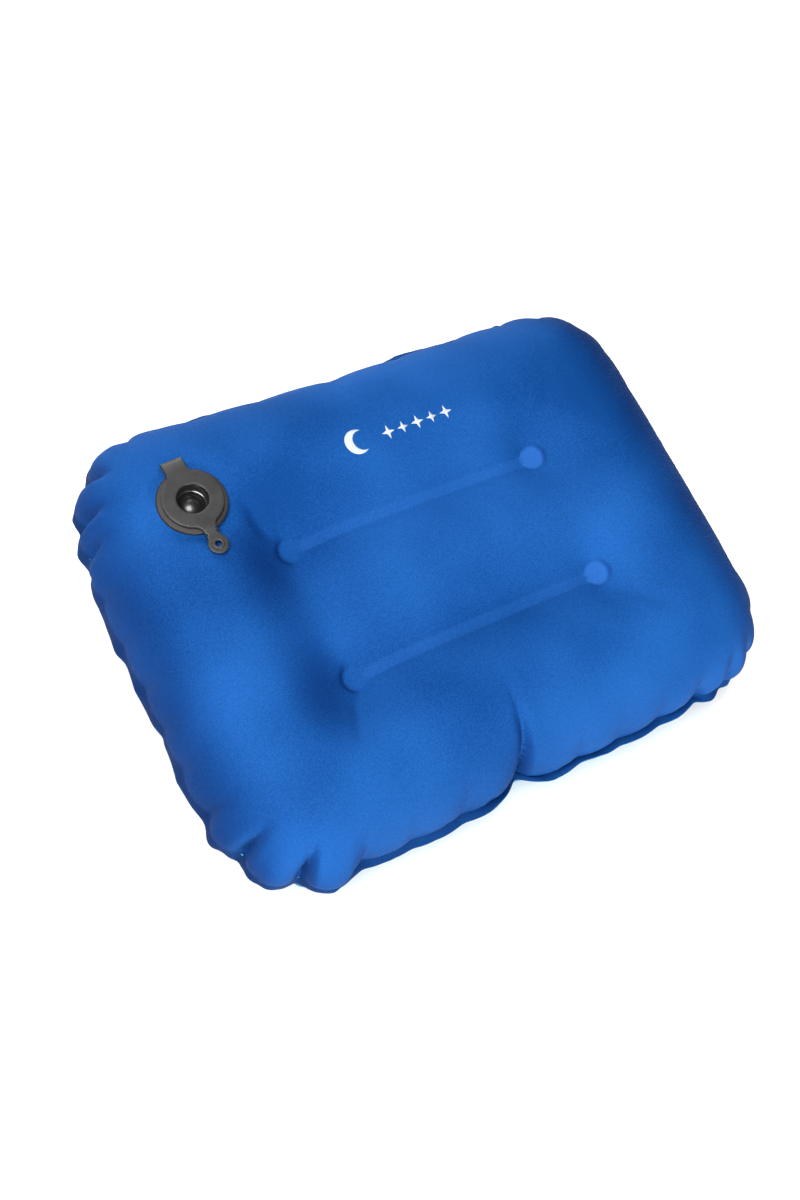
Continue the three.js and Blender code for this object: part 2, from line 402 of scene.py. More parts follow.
@dataclass(frozen=True)
class Pucker:
    """A gathered spot of the flange.

    Attributes:
        x: where it sits along the length.
        y: where it sits across the depth.
        depth: how far it draws the edge in.
        width: how far it spreads along the edge.
        reach: how far up the skin the edge's draw is felt.
        groove: how deep its crease is.
        crease: how far its crease runs into the skin.
    """

    x: float
    y: float
    depth: float
    width: float = 9 * MM
    reach: float = 26 * MM
    groove: float = 1.8 * MM
    crease: float = 26 * MM


PUCKERS = (
    # back left corner
    Pucker(-0.150, 0.1505, 7 * MM, 9 * MM, groove=2.2 * MM, crease=30 * MM),
    Pucker(-0.182, 0.131, 10 * MM, 10 * MM, groove=4.6 * MM, crease=42 * MM),
    Pucker(-0.195, 0.104, 10 * MM, 9 * MM, groove=4.6 * MM, crease=42 * MM),
    Pucker(-0.1995, 0.084, 7 * MM, 8 * MM, groove=3.4 * MM, crease=34 * MM),
    Pucker(-0.200, 0.056, 3.2 * MM, 8 * MM, groove=1.2 * MM, crease=20 * MM),
    # left end
    Pucker(-0.200, 0.027, 1.6 * MM, 7 * MM, groove=0.5 * MM, crease=14 * MM),
    Pucker(-0.200, -0.001, 2.0 * MM, 7 * MM, groove=0.6 * MM, crease=14 * MM),
    Pucker(-0.200, -0.026, 1.4 * MM, 7 * MM, groove=0.4 * MM, crease=14 * MM),
    Pucker(-0.200, -0.052, 2.2 * MM, 7 * MM, groove=0.6 * MM, crease=16 * MM),
    # front left corner
    Pucker(-0.199, -0.082, 6.5 * MM, 9 * MM, groove=2.0 * MM, crease=26 * MM),
    Pucker(-0.191, -0.112, 10 * MM, 10 * MM, groove=4.6 * MM, crease=44 * MM),
    Pucker(-0.166, -0.142, 10.5 * MM, 10 * MM, groove=4.8 * MM, crease=46 * MM),
    Pucker(-0.126, -0.1515, 6 * MM, 10 * MM, groove=1.2 * MM, crease=22 * MM),
    # front edge
    Pucker(-0.092, -0.1515, 2.2 * MM, 9 * MM, groove=0.4 * MM, crease=12 * MM),
    Pucker(-0.057, -0.1515, 2.4 * MM, 9 * MM, groove=0.4 * MM, crease=12 * MM),
    Pucker(-0.015, -0.1515, 12 * MM, 11 * MM, 34 * MM, 4.4 * MM, 92 * MM),
    Pucker(0.028, -0.1515, 2.4 * MM, 9 * MM, groove=0.4 * MM, crease=12 * MM),
    Pucker(0.060, -0.1515, 2.0 * MM, 9 * MM, groove=0.4 * MM, crease=12 * MM),
    Pucker(0.092, -0.1515, 2.8 * MM, 9 * MM, groove=0.5 * MM, crease=14 * MM),
    # front right corner
    Pucker(0.124, -0.1515, 5.5 * MM, 9 * MM), Pucker(0.151, -0.149, 7 * MM, 9 * MM),
    Pucker(0.174, -0.138, 7 * MM, 9 * MM, groove=2.6 * MM, crease=32 * MM),
    Pucker(0.192, -0.116, 6 * MM, 9 * MM),
    # right end
    Pucker(0.200, -0.080, 3.5 * MM, 9 * MM, groove=1.0 * MM, crease=18 * MM),
    Pucker(0.200, -0.030, 1.8 * MM, 8 * MM, groove=0.5 * MM, crease=14 * MM),
    Pucker(0.200, 0.015, 2.0 * MM, 8 * MM, groove=0.5 * MM, crease=14 * MM),
    Pucker(0.200, 0.062, 3.0 * MM, 8 * MM, groove=1.0 * MM, crease=18 * MM),
    # back right corner
    Pucker(0.199, 0.094, 6 * MM, 9 * MM), Pucker(0.186, 0.127, 7 * MM, 9 * MM),
    Pucker(0.155, 0.148, 7 * MM, 9 * MM), Pucker(0.124, 0.1515, 5 * MM, 9 * MM),
    # back edge
    Pucker(0.085, 0.1515, 2.8 * MM, 9 * MM, groove=0.6 * MM, crease=14 * MM),
    Pucker(0.040, 0.1515, 2.2 * MM, 9 * MM, groove=0.4 * MM, crease=12 * MM),
    Pucker(-0.010, 0.1515, 3.0 * MM, 9 * MM, groove=0.5 * MM, crease=14 * MM),
    Pucker(-0.060, 0.1515, 2.2 * MM, 9 * MM, groove=0.4 * MM, crease=12 * MM),
    Pucker(-0.105, 0.1515, 3.0 * MM, 9 * MM, groove=0.8 * MM, crease=16 * MM),
)


# ---------------------------------------------------------------- valve axis
HINGE_BEHIND = 28.6 * MM   # from the valve's axis back to the hinge's turning point
HINGE_ABOVE = 2.25 * MM    # from the skin up to it


@dataclass(frozen=True)
class ValveAxis:
    """The valve's own frame: origin on the top skin, Z out of the pillow, Y towards the hinge.

    Attributes:
        place: the frame as a matrix.
    """

    place: Matrix

    @classmethod
    def from_joints(cls, joints: list[dict]) -> "ValveAxis":
        """Works the valve's frame out from its two joints.

        Args:
            joints: the frame's joints, with lid_hinge and flap_slide among them.

        Returns:
            The valve's frame.
        """
        named = {joint["name"]: joint for joint in joints}
        out = -Vector(named["flap_slide"]["axis"]).normalized()
        across = -Vector(named["lid_hinge"]["axis"]).normalized()
        back = out.cross(across).normalized()
        hinge = Vector(named["lid_hinge"]["pos_m"])
        origin = hinge - back * HINGE_BEHIND - out * HINGE_ABOVE
        turn = Matrix((across, back, out)).transposed().to_4x4()
        return cls(Matrix.Translation(origin) @ turn)

    @property
    def origin(self) -> Vector:
        """The valve's centre on the skin."""
        return self.place.translation

    @property
    def out(self) -> Vector:
        """The direction out of the pillow."""
        return self.place.col[2].to_3d()


# ---------------------------------------------------------------- small mesh helpers
def link(name: str, mesh: bpy.types.Mesh) -> bpy.types.Object:
    """Makes a smoothly shaded object of a mesh and puts it in the scene.

    Args:
        name: the piece's name.
        mesh: its mesh, in the row frame or about to be placed.

    Returns:
        The new object.
    """
    piece = bpy.data.objects.new(name, mesh)
    bpy.context.scene.collection.objects.link(piece)
    for polygon in mesh.polygons:
        polygon.use_smooth = True
    return piece


def mesh_of(name: str, points: Iterable[Sequence[float]], faces: Iterable[Sequence[int]]) -> bpy.types.Mesh:
    """Makes a mesh from points and faces.

    Args:
        name: the mesh's name.
        points: the place of each point.
        faces: the numbers of each face's points.

    Returns:
        The mesh.
    """
    mesh = bpy.data.meshes.new(name)
    mesh.from_pydata([tuple(p) for p in points], [], [tuple(int(i) for i in f) for f in faces])
    mesh.update()
    return mesh


def settle(piece: bpy.types.Object, place: Matrix) -> bpy.types.Object:
    """Applies a piece's modifiers and then its place.

    Args:
        piece: the piece, made at its own origin.
        place: where it goes in the row frame.

    Returns:
        The finished piece, a mesh object at the origin.
    """
    bpy.context.view_layer.update()
    graph = bpy.context.evaluated_depsgraph_get()
    mesh = bpy.data.meshes.new_from_object(piece.evaluated_get(graph), depsgraph=graph)
    name = piece.name
    old = piece.data
    bpy.data.objects.remove(piece)
    bpy.data.meshes.remove(old)
    mesh.transform(place)
    mesh.name = name
    return link(name, mesh)


def turned(name: str, profile: list[Point2], place: Matrix, closed: bool, steps: int = 72,
           bevel: float = 0.22) -> bpy.types.Object:
    """A turned piece: a profile in millimetres swept around the valve's axis.

    Args:
        name: the piece's name.
        profile: radius and height of each point, with the solid on the left of the line.
        place: the axis that it turns about.
        closed: whether the profile closes on itself; an open one starts and ends on the axis.
        steps: facets around the axis.
        bevel: width of the rounding on its edges, in millimetres.

    Returns:
        The finished piece.
    """
    rows = [Vector((radius * MM, 0, height * MM)) for radius, height in profile]
    edges = [(k, k + 1) for k in range(len(rows) - 1)] + ([(len(rows) - 1, 0)] if closed else [])
    mesh = bpy.data.meshes.new(name)
    mesh.from_pydata(rows, edges, [])
    piece = link(name, mesh)
    screw = piece.modifiers.new("turn", "SCREW")
    screw.steps = screw.render_steps = steps
    screw.use_merge_vertices = True
    screw.merge_threshold = 0.02 * MM
    screw.use_smooth_shade = True
    rounding = piece.modifiers.new("rounding", "BEVEL")
    rounding.width = bevel * MM
    rounding.segments = 3
    rounding.limit_method = "ANGLE"
    rounding.angle_limit = math.radians(32)
    piece = settle(piece, place)
    recalculate(piece.data)
    return piece


def recalculate(mesh: bpy.types.Mesh) -> None:
    """Merges doubled points and turns the faces outwards.

    Args:
        mesh: the mesh, changed in place.
    """
    editor = bmesh.new()
    editor.from_mesh(mesh)
    bmesh.ops.remove_doubles(editor, verts=editor.verts, dist=0.004 * MM)
    bmesh.ops.recalc_face_normals(editor, faces=editor.faces)
    editor.to_mesh(mesh)
    editor.free()


# ---------------------------------------------------------------- finishes
def place_nodes(columns: list[list[bpy.types.Node]]) -> None:
    """Sets the locations of a material's nodes, in columns from left to right.

    Args:
        columns: the nodes of each column, from top to bottom.
    """
    for column, stack in enumerate(columns):
        for row, node in enumerate(stack):
            node.location = (-1500 + 260 * column, 300 - 260 * row)


@dataclass(frozen=True)
class KnitFinish:
    """Coated stretch knit: fine ribs, painted shade where the cloth faces along the length, and slow
    variation of its colour.

    Attributes:
        name: the material's name.
        deep: the dye where it is deepest.
        bright: the dye where it is brightest.
        pressed: the tone of the welds. It also carries the painted light on the right pads.
        rim: the tone of the flange.
        rib_scale: how many ribs there are.
        roughness: roughness of the surface.
        bump: strength of the knit's relief.
        painted_shade: strength of the painted shade on cloth that faces along the length, more on the side
            facing +X.
        painted_shade_tint: what the dye is multiplied by under the painted shade.
    """

    name: str
    deep: Colour
    bright: Colour
    pressed: Colour
    rim: Colour
    rib_scale: float = 285.0
    roughness: float = 0.72
    bump: float = 0.5
    painted_shade: float = 0.9
    painted_shade_tint: Colour = (0.44, 0.54, 0.64, 1.0)

    def material(self) -> bpy.types.Material:
        """Builds the knit's material.

        Returns:
            The material.
        """
        mat = bpy.data.materials.new(self.name)
        mat.use_nodes = True
        tree = mat.node_tree
        nodes = tree.nodes
        links = tree.links
        nodes.clear()

        place = nodes.new("ShaderNodeTexCoord")
        place.label = "place on the pillow"
        ribs = nodes.new("ShaderNodeTexWave")
        ribs.label = "ribs of the knit"
        ribs.wave_type = "BANDS"
        ribs.bands_direction = "X"
        ribs.inputs["Scale"].default_value = self.rib_scale
        ribs.inputs["Distortion"].default_value = 1.2
        ribs.inputs["Detail"].default_value = 1.0
        courses = nodes.new("ShaderNodeTexWave")
        courses.label = "courses across the ribs"
        courses.wave_type = "BANDS"
        courses.bands_direction = "Y"
        courses.inputs["Scale"].default_value = self.rib_scale * 0.8
        courses.inputs["Distortion"].default_value = 1.2
        courses.inputs["Detail"].default_value = 1.0
        fuzz = nodes.new("ShaderNodeTexNoise")
        fuzz.label = "fuzz of the yarn"
        fuzz.inputs["Scale"].default_value = 900.0
        fuzz.inputs["Detail"].default_value = 3.0
        drift = nodes.new("ShaderNodeTexNoise")
        drift.label = "slow drift of the dye"
        drift.inputs["Scale"].default_value = 9.0
        drift.inputs["Detail"].default_value = 2.0
        weave = nodes.new("ShaderNodeMath")
        weave.label = "ribs meet courses"
        weave.operation = "MULTIPLY"
        relief = nodes.new("ShaderNodeMath")
        relief.label = "add the fuzz"
        relief.operation = "ADD"
        tone = nodes.new("ShaderNodeMath")
        tone.label = "tone from fuzz and drift"
        tone.operation = "MULTIPLY_ADD"
        tone.inputs[1].default_value = 0.45
        colour = nodes.new("ShaderNodeValToRGB")
        colour.label = "deep to bright dye"
        colour.color_ramp.elements[0].position = 0.52
        colour.color_ramp.elements[0].color = self.deep
        colour.color_ramp.elements[1].position = 0.92
        colour.color_ramp.elements[1].color = self.bright
        weld = nodes.new("ShaderNodeAttribute")
        weld.label = "pressed smooth at the welds"
        weld.attribute_name = "weld"
        # Paler tone of the welds. On the right pads it is mostly painted light, and its near absence on the
        # left pads is painted shade.
        pressed = nodes.new("ShaderNodeMix")
        pressed.label = "paler where it is pressed"
        pressed.data_type = "RGBA"
        pressed.inputs["B"].default_value = self.pressed
        share = nodes.new("ShaderNodeMath")
        share.label = "strength of the pressed tone"
        share.operation = "MULTIPLY"
        share.inputs[1].default_value = 0.6
        edge = nodes.new("ShaderNodeAttribute")
        edge.label = "welded flange"
        edge.attribute_name = "rim"
        rim = nodes.new("ShaderNodeMix")
        rim.label = "deeper on the flange"
        rim.data_type = "RGBA"
        rim.inputs["B"].default_value = self.rim
        rim_share = nodes.new("ShaderNodeMath")
        rim_share.label = "strength of the flange tone"
        rim_share.operation = "MULTIPLY"
        rim_share.inputs[1].default_value = 0.5
        height = nodes.new("ShaderNodeBump")
        height.label = "knit relief"
        height.inputs["Strength"].default_value = self.bump
        height.inputs["Distance"].default_value = 0.25 * MM
        shader = nodes.new("ShaderNodeBsdfPrincipled")
        shader.label = "coated knit"
        shader.inputs["Roughness"].default_value = self.roughness
        shader.inputs["Sheen Weight"].default_value = 0.02
        shader.inputs["Sheen Roughness"].default_value = 0.45
        shader.inputs["Sheen Tint"].default_value = self.bright
        shader.inputs["Specular IOR Level"].default_value = 0.05
        # Painted shade: the dye is multiplied down to about half where the cloth's object-space normal
        # faces along X, more towards +X. It stands in for flanks darkened by the light.
        facing = nodes.new("ShaderNodeSeparateXYZ")
        facing.label = "which way the cloth faces"
        lie = nodes.new("ShaderNodeMath")
        lie.label = "the nap leans to one side"
        lie.operation = "ADD"
        lie.inputs[1].default_value = 0.2
        across = nodes.new("ShaderNodeMath")
        across.label = "how far it faces across the ribs"
        across.operation = "ABSOLUTE"
        painted_shade_share = nodes.new("ShaderNodeMapRange")
        painted_shade_share.label = "strength of the nap"
        painted_shade_share.interpolation_type = "SMOOTHSTEP"
        painted_shade_share.inputs["From Min"].default_value = 0.21
        painted_shade_share.inputs["From Max"].default_value = 0.72
        painted_shade_share.inputs["To Max"].default_value = self.painted_shade
        painted_shade = nodes.new("ShaderNodeMix")
        painted_shade.label = "darker where the nap lies across"
        painted_shade.data_type = "RGBA"
        painted_shade.blend_type = "MULTIPLY"
        painted_shade.inputs["B"].default_value = self.painted_shade_tint
        out = nodes.new("ShaderNodeOutputMaterial")
        out.label = "surface"
        place_nodes([[place, weld, edge], [ribs, courses, fuzz, drift, facing],
                     [weave, share, rim_share, lie], [relief, tone, across, painted_shade_share], [height, colour],
                     [pressed], [rim], [painted_shade], [shader], [out]])
        # This frame holds the painted shade nodes.
        painted_shade_frame = nodes.new("NodeFrame")
        painted_shade_frame.label = "lie of the nap"
        for node in (facing, lie, across, painted_shade_share):
            node.parent = painted_shade_frame
        relief_frame = nodes.new("NodeFrame")
        relief_frame.label = "relief of the knit"
        for node in (ribs, courses, weave, relief, height):
            node.parent = relief_frame
        colour_frame = nodes.new("NodeFrame")
        colour_frame.label = "dye"
        for node in (drift, tone, colour):
            node.parent = colour_frame

        links.new(place.outputs["Object"], ribs.inputs["Vector"])
        links.new(place.outputs["Object"], courses.inputs["Vector"])
        links.new(place.outputs["Object"], fuzz.inputs["Vector"])
        links.new(place.outputs["Object"], drift.inputs["Vector"])
        links.new(ribs.outputs["Fac"], weave.inputs[0])
        links.new(courses.outputs["Fac"], weave.inputs[1])
        links.new(weave.outputs["Value"], relief.inputs[0])
        links.new(fuzz.outputs["Fac"], relief.inputs[1])
        links.new(relief.outputs["Value"], height.inputs["Height"])
        links.new(fuzz.outputs["Fac"], tone.inputs[0])
        links.new(drift.outputs["Fac"], tone.inputs[2])
        links.new(tone.outputs["Value"], colour.inputs["Fac"])
        links.new(weld.outputs["Fac"], share.inputs[0])
        links.new(share.outputs["Value"], pressed.inputs["Factor"])
        links.new(colour.outputs["Color"], pressed.inputs["A"])
        links.new(edge.outputs["Fac"], rim_share.inputs[0])
        links.new(rim_share.outputs["Value"], rim.inputs["Factor"])
        links.new(pressed.outputs["Result"], rim.inputs["A"])
        links.new(place.outputs["Normal"], facing.inputs["Vector"])
        links.new(facing.outputs["X"], lie.inputs[0])
        links.new(lie.outputs["Value"], across.inputs[0])
        links.new(across.outputs["Value"], painted_shade_share.inputs["Value"])
        links.new(painted_shade_share.outputs["Result"], painted_shade.inputs["Factor"])
        links.new(rim.outputs["Result"], painted_shade.inputs["A"])
        links.new(painted_shade.outputs["Result"], shader.inputs["Base Color"])
        links.new(height.outputs["Normal"], shader.inputs["Normal"])
        links.new(shader.outputs["BSDF"], out.inputs["Surface"])
        return mat


@dataclass(frozen=True)
class MouldedFinish:
    """Moulded soft plastic, silicone, film or ink: faint mottle, fine grain and handling wear.

    Attributes:
        name: the material's name.
        colour: colour where it is untouched.
        worn: colour where it is handled.
        roughness: roughness of the surface.
        grain: strength of its fine relief.
        coat: weight of a clear gloss over it.
    """

    name: str
    colour: Colour
    worn: Colour
    roughness: float = 0.5
    grain: float = 0.12
    coat: float = 0.0

    def material(self) -> bpy.types.Material:
        """Builds the moulding's material.

        Returns:
            The material.
        """
        mat = bpy.data.materials.new(self.name)
        mat.use_nodes = True
        tree = mat.node_tree
        nodes = tree.nodes
        links = tree.links
        nodes.clear()

        place = nodes.new("ShaderNodeTexCoord")
        place.label = "place on the valve"
        grain = nodes.new("ShaderNodeTexNoise")
        grain.label = "spark-eroded grain"
        grain.inputs["Scale"].default_value = 2200.0
        grain.inputs["Detail"].default_value = 2.0
        mottle = nodes.new("ShaderNodeTexNoise")
        mottle.label = "mottle and finger marks"
        mottle.inputs["Scale"].default_value = 110.0
        mottle.inputs["Detail"].default_value = 4.0
        tint = nodes.new("ShaderNodeValToRGB")
        tint.label = "moulded to worn colour"
        tint.color_ramp.elements[0].position = 0.35
        tint.color_ramp.elements[0].color = self.colour
        tint.color_ramp.elements[1].position = 0.75
        tint.color_ramp.elements[1].color = self.worn
        gloss = nodes.new("ShaderNodeMapRange")
        gloss.label = "gloss varies with the marks"
        gloss.inputs["To Min"].default_value = self.roughness - 0.07
        gloss.inputs["To Max"].default_value = self.roughness + 0.07
        height = nodes.new("ShaderNodeBump")
        height.label = "grain relief"
        height.inputs["Strength"].default_value = self.grain
        height.inputs["Distance"].default_value = 0.05 * MM
        shader = nodes.new("ShaderNodeBsdfPrincipled")
        shader.label = "soft moulding"
        shader.inputs["Specular IOR Level"].default_value = 0.5
        shader.inputs["Coat Weight"].default_value = self.coat
        shader.inputs["Coat Roughness"].default_value = 0.12
        out = nodes.new("ShaderNodeOutputMaterial")
        out.label = "surface"
        place_nodes([[place], [grain, mottle], [height, tint, gloss], [shader], [out]])
        wear = nodes.new("NodeFrame")
        wear.label = "marks"
        for node in (mottle, tint, gloss):
            node.parent = wear

        links.new(place.outputs["Object"], grain.inputs["Vector"])
        links.new(place.outputs["Object"], mottle.inputs["Vector"])
        links.new(grain.outputs["Fac"], height.inputs["Height"])
        links.new(mottle.outputs["Fac"], tint.inputs["Fac"])
        links.new(mottle.outputs["Fac"], gloss.inputs["Value"])
        links.new(tint.outputs["Color"], shader.inputs["Base Color"])
        links.new(gloss.outputs["Result"], shader.inputs["Roughness"])
        links.new(height.outputs["Normal"], shader.inputs["Normal"])
        links.new(shader.outputs["BSDF"], out.inputs["Surface"])
        return mat


# ---------------------------------------------------------------- the inflated skins
@dataclass
class Skins:
    """Top and bottom skin, cut flat, welded around the flange and blown up.

    Attributes:
        outline: the outline, with the slack of the flat-cut sheet.
        welds: the welds of the inner webs.
        valve: the valve's frame.
        middle: height of the flange above the floor.
        flange: width of the welded flange.
        run: how far in the side wall runs.
        crest: height of the crest above the flange.
        weld_height: height of the welds above the flange.
        side_reach: how far beside a weld the skin is drawn in.
        end_reach: how far past a weld's end it is drawn in.
        step: spacing of the sheet's mesh.
        rim_step: spacing of the mesh along the edge.
        fine: spacing of the mesh along welds and long creases.
        long_crease: length from which a crease has a finer mesh of its own.
        strip_half: half the width of that mesh.
        seat: radius of the flat seat under the valve.
        port: radius of the hole for the valve.
        turned_down: angle of the flange where it is tucked under the bulge.
        least_tuck: how far it is tucked where it lies nearly level.
        tucked_out: how far the bulge stands out over a tucked flange, and how far up it does.
        trimmed: share of the flange that is trimmed off along the front.
        over_front: how far the front wall stands out over the flange, and the lengths over which
            that grows and fades.
        behind: how far the bottom skin keeps behind a tucked flange, and the same two lengths.
        clear: gap that the bottom skin keeps from a flange that hangs over it.
        hang_reach: how far below the weld line that gap is kept.
        ripple: height of the flange's wavy rim.
        ripples: size, count around the outline and phase of each wave of the rim.
        groove_width: half the width of a pucker's crease.
        groove_share: depth of the creases in the bottom skin, against those in the top skin.
        ridge: place beside a crease, width and height of the fold that stands up there, the
            height as a share of the groove.
        deep_groove: depth from which a crease is sharp.
        sharp: how sharp it is, from 0 to 1.
        pressure: air pressure in the simulation.
        stiffness: stiffness of the cloth.
        bending: its stiffness in bending.
        frames: steps of the simulation.
        ply: thickness of the fabric.
        rim_depths: depths of the rings that follow the edge, in millimetres.
        points: the points of both skins once they are inflated.
        faces: the faces of both skins.
        kinds: which skin each face belongs to, or None in the welded flange.
        sharpness: how sharp the skin folds at each point.
        marks: how pressed each point is by a weld, with painted light and shade on the pads, and whether it
            lies on the rim.
    """

    outline: Outline
    welds: tuple[Weld, ...]
    valve: ValveAxis
    middle: float
    flange: float = 8 * MM
    run: float = 52 * MM
    crest: float = 51.5 * MM
    weld_height: float = 40.4 * MM
    side_reach: float = 84 * MM
    end_reach: float = 52 * MM
    step: float = 5.6 * MM
    rim_step: float = 3.9 * MM
    fine: float = 3.0 * MM
    long_crease: float = 50 * MM
    strip_half: float = 8.5 * MM
    seat: float = 22.5 * MM
    port: float = 13.9 * MM
    turned_down: float = math.radians(79)
    least_tuck: float = 0.06
    tucked_out: tuple[float, float] = (6.5 * MM, 30 * MM)
    trimmed: float = 0.28
    over_front: tuple[float, float, float] = (3.0 * MM, 5 * MM, 34 * MM)
    behind: tuple[float, float, float] = (3.4 * MM, 3 * MM, 32 * MM)
    clear: float = 1.4 * MM
    hang_reach: float = 9 * MM
    ripple: float = 1.1 * MM
    ripples: tuple[tuple[float, int, float], ...] = ((1.0, 23, 0.6), (0.7, 37, 2.1), (0.4, 61, 0.0))
    groove_width: float = 3.0 * MM
    groove_share: float = 0.6
    ridge: tuple[float, float, float] = (6.5 * MM, 3.2 * MM, 0.35)
    deep_groove: float = 3 * MM
    sharp: float = 0.55
    pressure: float = 1000.0
    stiffness: float = 60.0
    bending: float = 0.3
    frames: int = 24
    ply: float = 0.4 * MM
    rim_depths: tuple[float, ...] = (0, 4, 8, 11, 15, 19, 24, 29, 35, 41)
    points: np.ndarray = field(init=False, repr=False)
    faces: list[tuple[int, ...]] = field(init=False, repr=False)
    kinds: list[Side | None] = field(init=False, repr=False)
    sharpness: np.ndarray = field(init=False, repr=False)
    marks: dict[str, np.ndarray] = field(init=False, repr=False)

    def wall(self, depth: np.ndarray) -> tuple[np.ndarray, np.ndarray]:
        """The side wall's shape.

        Args:
            depth: distance from the edge of the flat sheet.

        Returns:
            The distance inside the inflated outline, and the share of the crest reached.
        """
        angles = np.linspace(0, math.pi / 2, 200)
        across, up = self.run * (1 - np.cos(angles)), self.crest * np.sin(angles)
        length = np.concatenate([[0], np.cumsum(np.hypot(np.diff(across), np.diff(up)))])
        along = depth - self.flange
        angle = np.interp(along, length, angles)
        inset = np.where(along < 0, depth, self.flange + self.run * (1 - np.cos(angle)))
        inset = inset + np.maximum(along - length[-1], 0)
        return inset, np.where(along < 0, 0.0, np.sin(angle))

    @classmethod
    def wall_slack(cls) -> float:
        """Measures the side wall.

        Returns:
            How much longer it is than it is wide.
        """
        angles = np.linspace(0, math.pi / 2, 200)
        steps = np.hypot(np.diff(cls.run * np.cos(angles)), np.diff(cls.crest * np.sin(angles)))
        return float(steps.sum() - cls.run)

    def cut_sheet(self) -> tuple[np.ndarray, list[tuple[int, ...]]]:
        """Meshes the flat-cut sheet, following its edge, the creases, the welds and the valve.

        Returns:
            The flat points and the triangles.
        """
        points: list[Point2] = []
        edges: list[tuple[int, int]] = []

        def closed_line(line: list[Point2]) -> None:
            """Adds a closed line that the mesh has to follow.

            Args:
                line: its points.
            """
            start = len(points)
            points.extend(line)
            edges.extend((start + k, start + (k + 1) % len(line)) for k in range(len(line)))

        marks = [self.outline.nearest(pucker.x, pucker.y) for pucker in PUCKERS]
        stations = self.outline.stations(marks, self.rim_step)
        for depth in self.rim_depths:
            closed_line(self.outline.ring(depth * MM, stations))
        for ring in range(1, len(self.rim_depths)):
            for station in range(len(stations)):
                if any(abs(stations[station] - mark) < 1e-6 for mark in marks):
                    edges.append(((ring - 1) * len(stations) + station, ring * len(stations) + station))
        fine = self.fine
        for weld in self.welds:
            for grow in (0.0, 1.1 * MM, fine):
                closed_line(weld.outline(fine, grow))
        seat_x, seat_y = self.valve.origin.x, self.valve.origin.y
        for radius in (self.port, self.seat):
            count = round(2 * math.pi * radius / (0.8 * self.step))
            closed_line([(seat_x + radius * math.cos(2 * math.pi * k / count),
                          seat_y + radius * math.sin(2 * math.pi * k / count)) for k in range(count)])

        row = self.step * math.sqrt(3) / 2
        half_x = self.outline.half_length + self.outline.slack
        half_y = self.outline.half_depth + self.outline.slack
        rows, columns = int(half_y / row) + 1, int(half_x / self.step) + 1
        grid = np.array([((i + 0.5 * (j % 2)) * self.step, j * row)
                         for j in range(-rows, rows + 1) for i in range(-columns, columns + 1)])
        depth = self.outline.measure(grid[:, 0], grid[:, 1])[0]
        keep = depth > (self.rim_depths[-1] * MM + self.step * 0.6)
        for weld in self.welds:
            near = weld.edge_distance(grid[:, 0], grid[:, 1])
            keep &= near > fine + 0.5 * self.step
        seat_gap = np.hypot(grid[:, 0] - seat_x, grid[:, 1] - seat_y)
        for radius in (self.seat, self.port):
            keep &= np.abs(seat_gap - radius) > 0.5 * self.step
        for pucker, mark in zip(PUCKERS, marks):
            if pucker.crease > self.long_crease:
                edge, out = self.outline.at(mark)
                side = Vector((-out.y, out.x))
                start = edge + out * (self.outline.slack - self.rim_depths[-1] * MM)
                length = pucker.crease - self.rim_depths[-1] * MM + self.flange
                across = (grid - np.array(start)) @ np.array(side)
                inward = -(grid - np.array(start)) @ np.array(out)
                keep &= ~((np.abs(across) < self.strip_half) & (inward > -1 * MM) & (inward < length))
                for k in range(1, int(length / fine)):
                    for column in range(-2, 3):
                        points.append(tuple(start - out * fine * k + side * fine * column))
        points.extend(map(tuple, grid[keep]))
        for weld in self.welds:
            steps = round(weld.span / fine)
            points.extend((weld.centre_x - weld.span / 2 + weld.span * k / steps, weld.y)
                          for k in range(steps + 1))
        made = delaunay_2d_cdt([Vector(p) for p in points], edges, [], 1, 1e-6)
        return np.array([tuple(v) for v in made[0]]), [tuple(f) for f in made[2]]

    def shape(self, flat: np.ndarray, side: Side) -> np.ndarray:
        """Blows the flat sheet up to a first shape, which the simulation then relaxes.

        Args:
            flat: the flat points.
            side: which skin.

        Returns:
            The points, with Z counted from the flange.
        """
        x, y = flat[:, 0], flat[:, 1]
        depth, edge, out = self.outline.measure(x, y)
        inset, rise = self.wall(depth)
        pull = sum(self.pull(weld, x, y) for weld in self.welds)
        height = self.crest - (self.crest - self.weld_height) * np.minimum(pull, 1)
        level = rise * height
        tuck = self.tuck(edge)
        up_wall = np.maximum(depth - self.flange, 0)
        drawn, notch = np.zeros(len(flat)), np.zeros(len(flat))
        for pucker in PUCKERS:
            near = np.exp(-(self.gap_to(pucker, edge) / pucker.width) ** 1.3)
            reach = pucker.reach if side is Side.TOP else 0.5 * pucker.reach
            drawn += pucker.depth * near * np.exp(-(up_wall / reach) ** 2)
            notch = np.maximum(notch, near * min(pucker.depth / (7 * MM), 1.0))
        turn = self.turned_down * tuck * (1 - 0.1 * notch)
        front = FRONT.share(edge)
        hang = np.maximum(self.flange - depth, 0) * (1 - self.trimmed * front)
        inset = np.where(hang > 0, self.flange - hang * np.cos(turn), inset)
        out_by, out_fade = self.tucked_out
        inset = inset - out_by * tuck * np.exp(-(up_wall / out_fade) ** 2) + drawn
        if side is Side.TOP:
            size, grow, fade = self.over_front
            bulge = -size * front * (1 - notch)
        else:
            size, grow, fade = self.behind
            bulge = size * tuck * (1 - 0.7 * notch)
        inset = inset + bulge * (1 - np.exp(-up_wall / grow)) * np.exp(-(up_wall / fade) ** 2)
        plan = edge - out * inset[:, None]
        ripple = self.flange_ripple(edge) * np.clip(1 - depth / self.flange, 0, 1)
        return np.column_stack([plan, side.value * level + ripple - hang * np.sin(turn)])

    def gap_to(self, pucker: Pucker, edge: np.ndarray) -> np.ndarray:
        """Distance of points of the outline from a pucker."""
        spot = self.outline.at(self.outline.nearest(pucker.x, pucker.y))[0]
        return np.hypot(edge[:, 0] - spot.x, edge[:, 1] - spot.y)

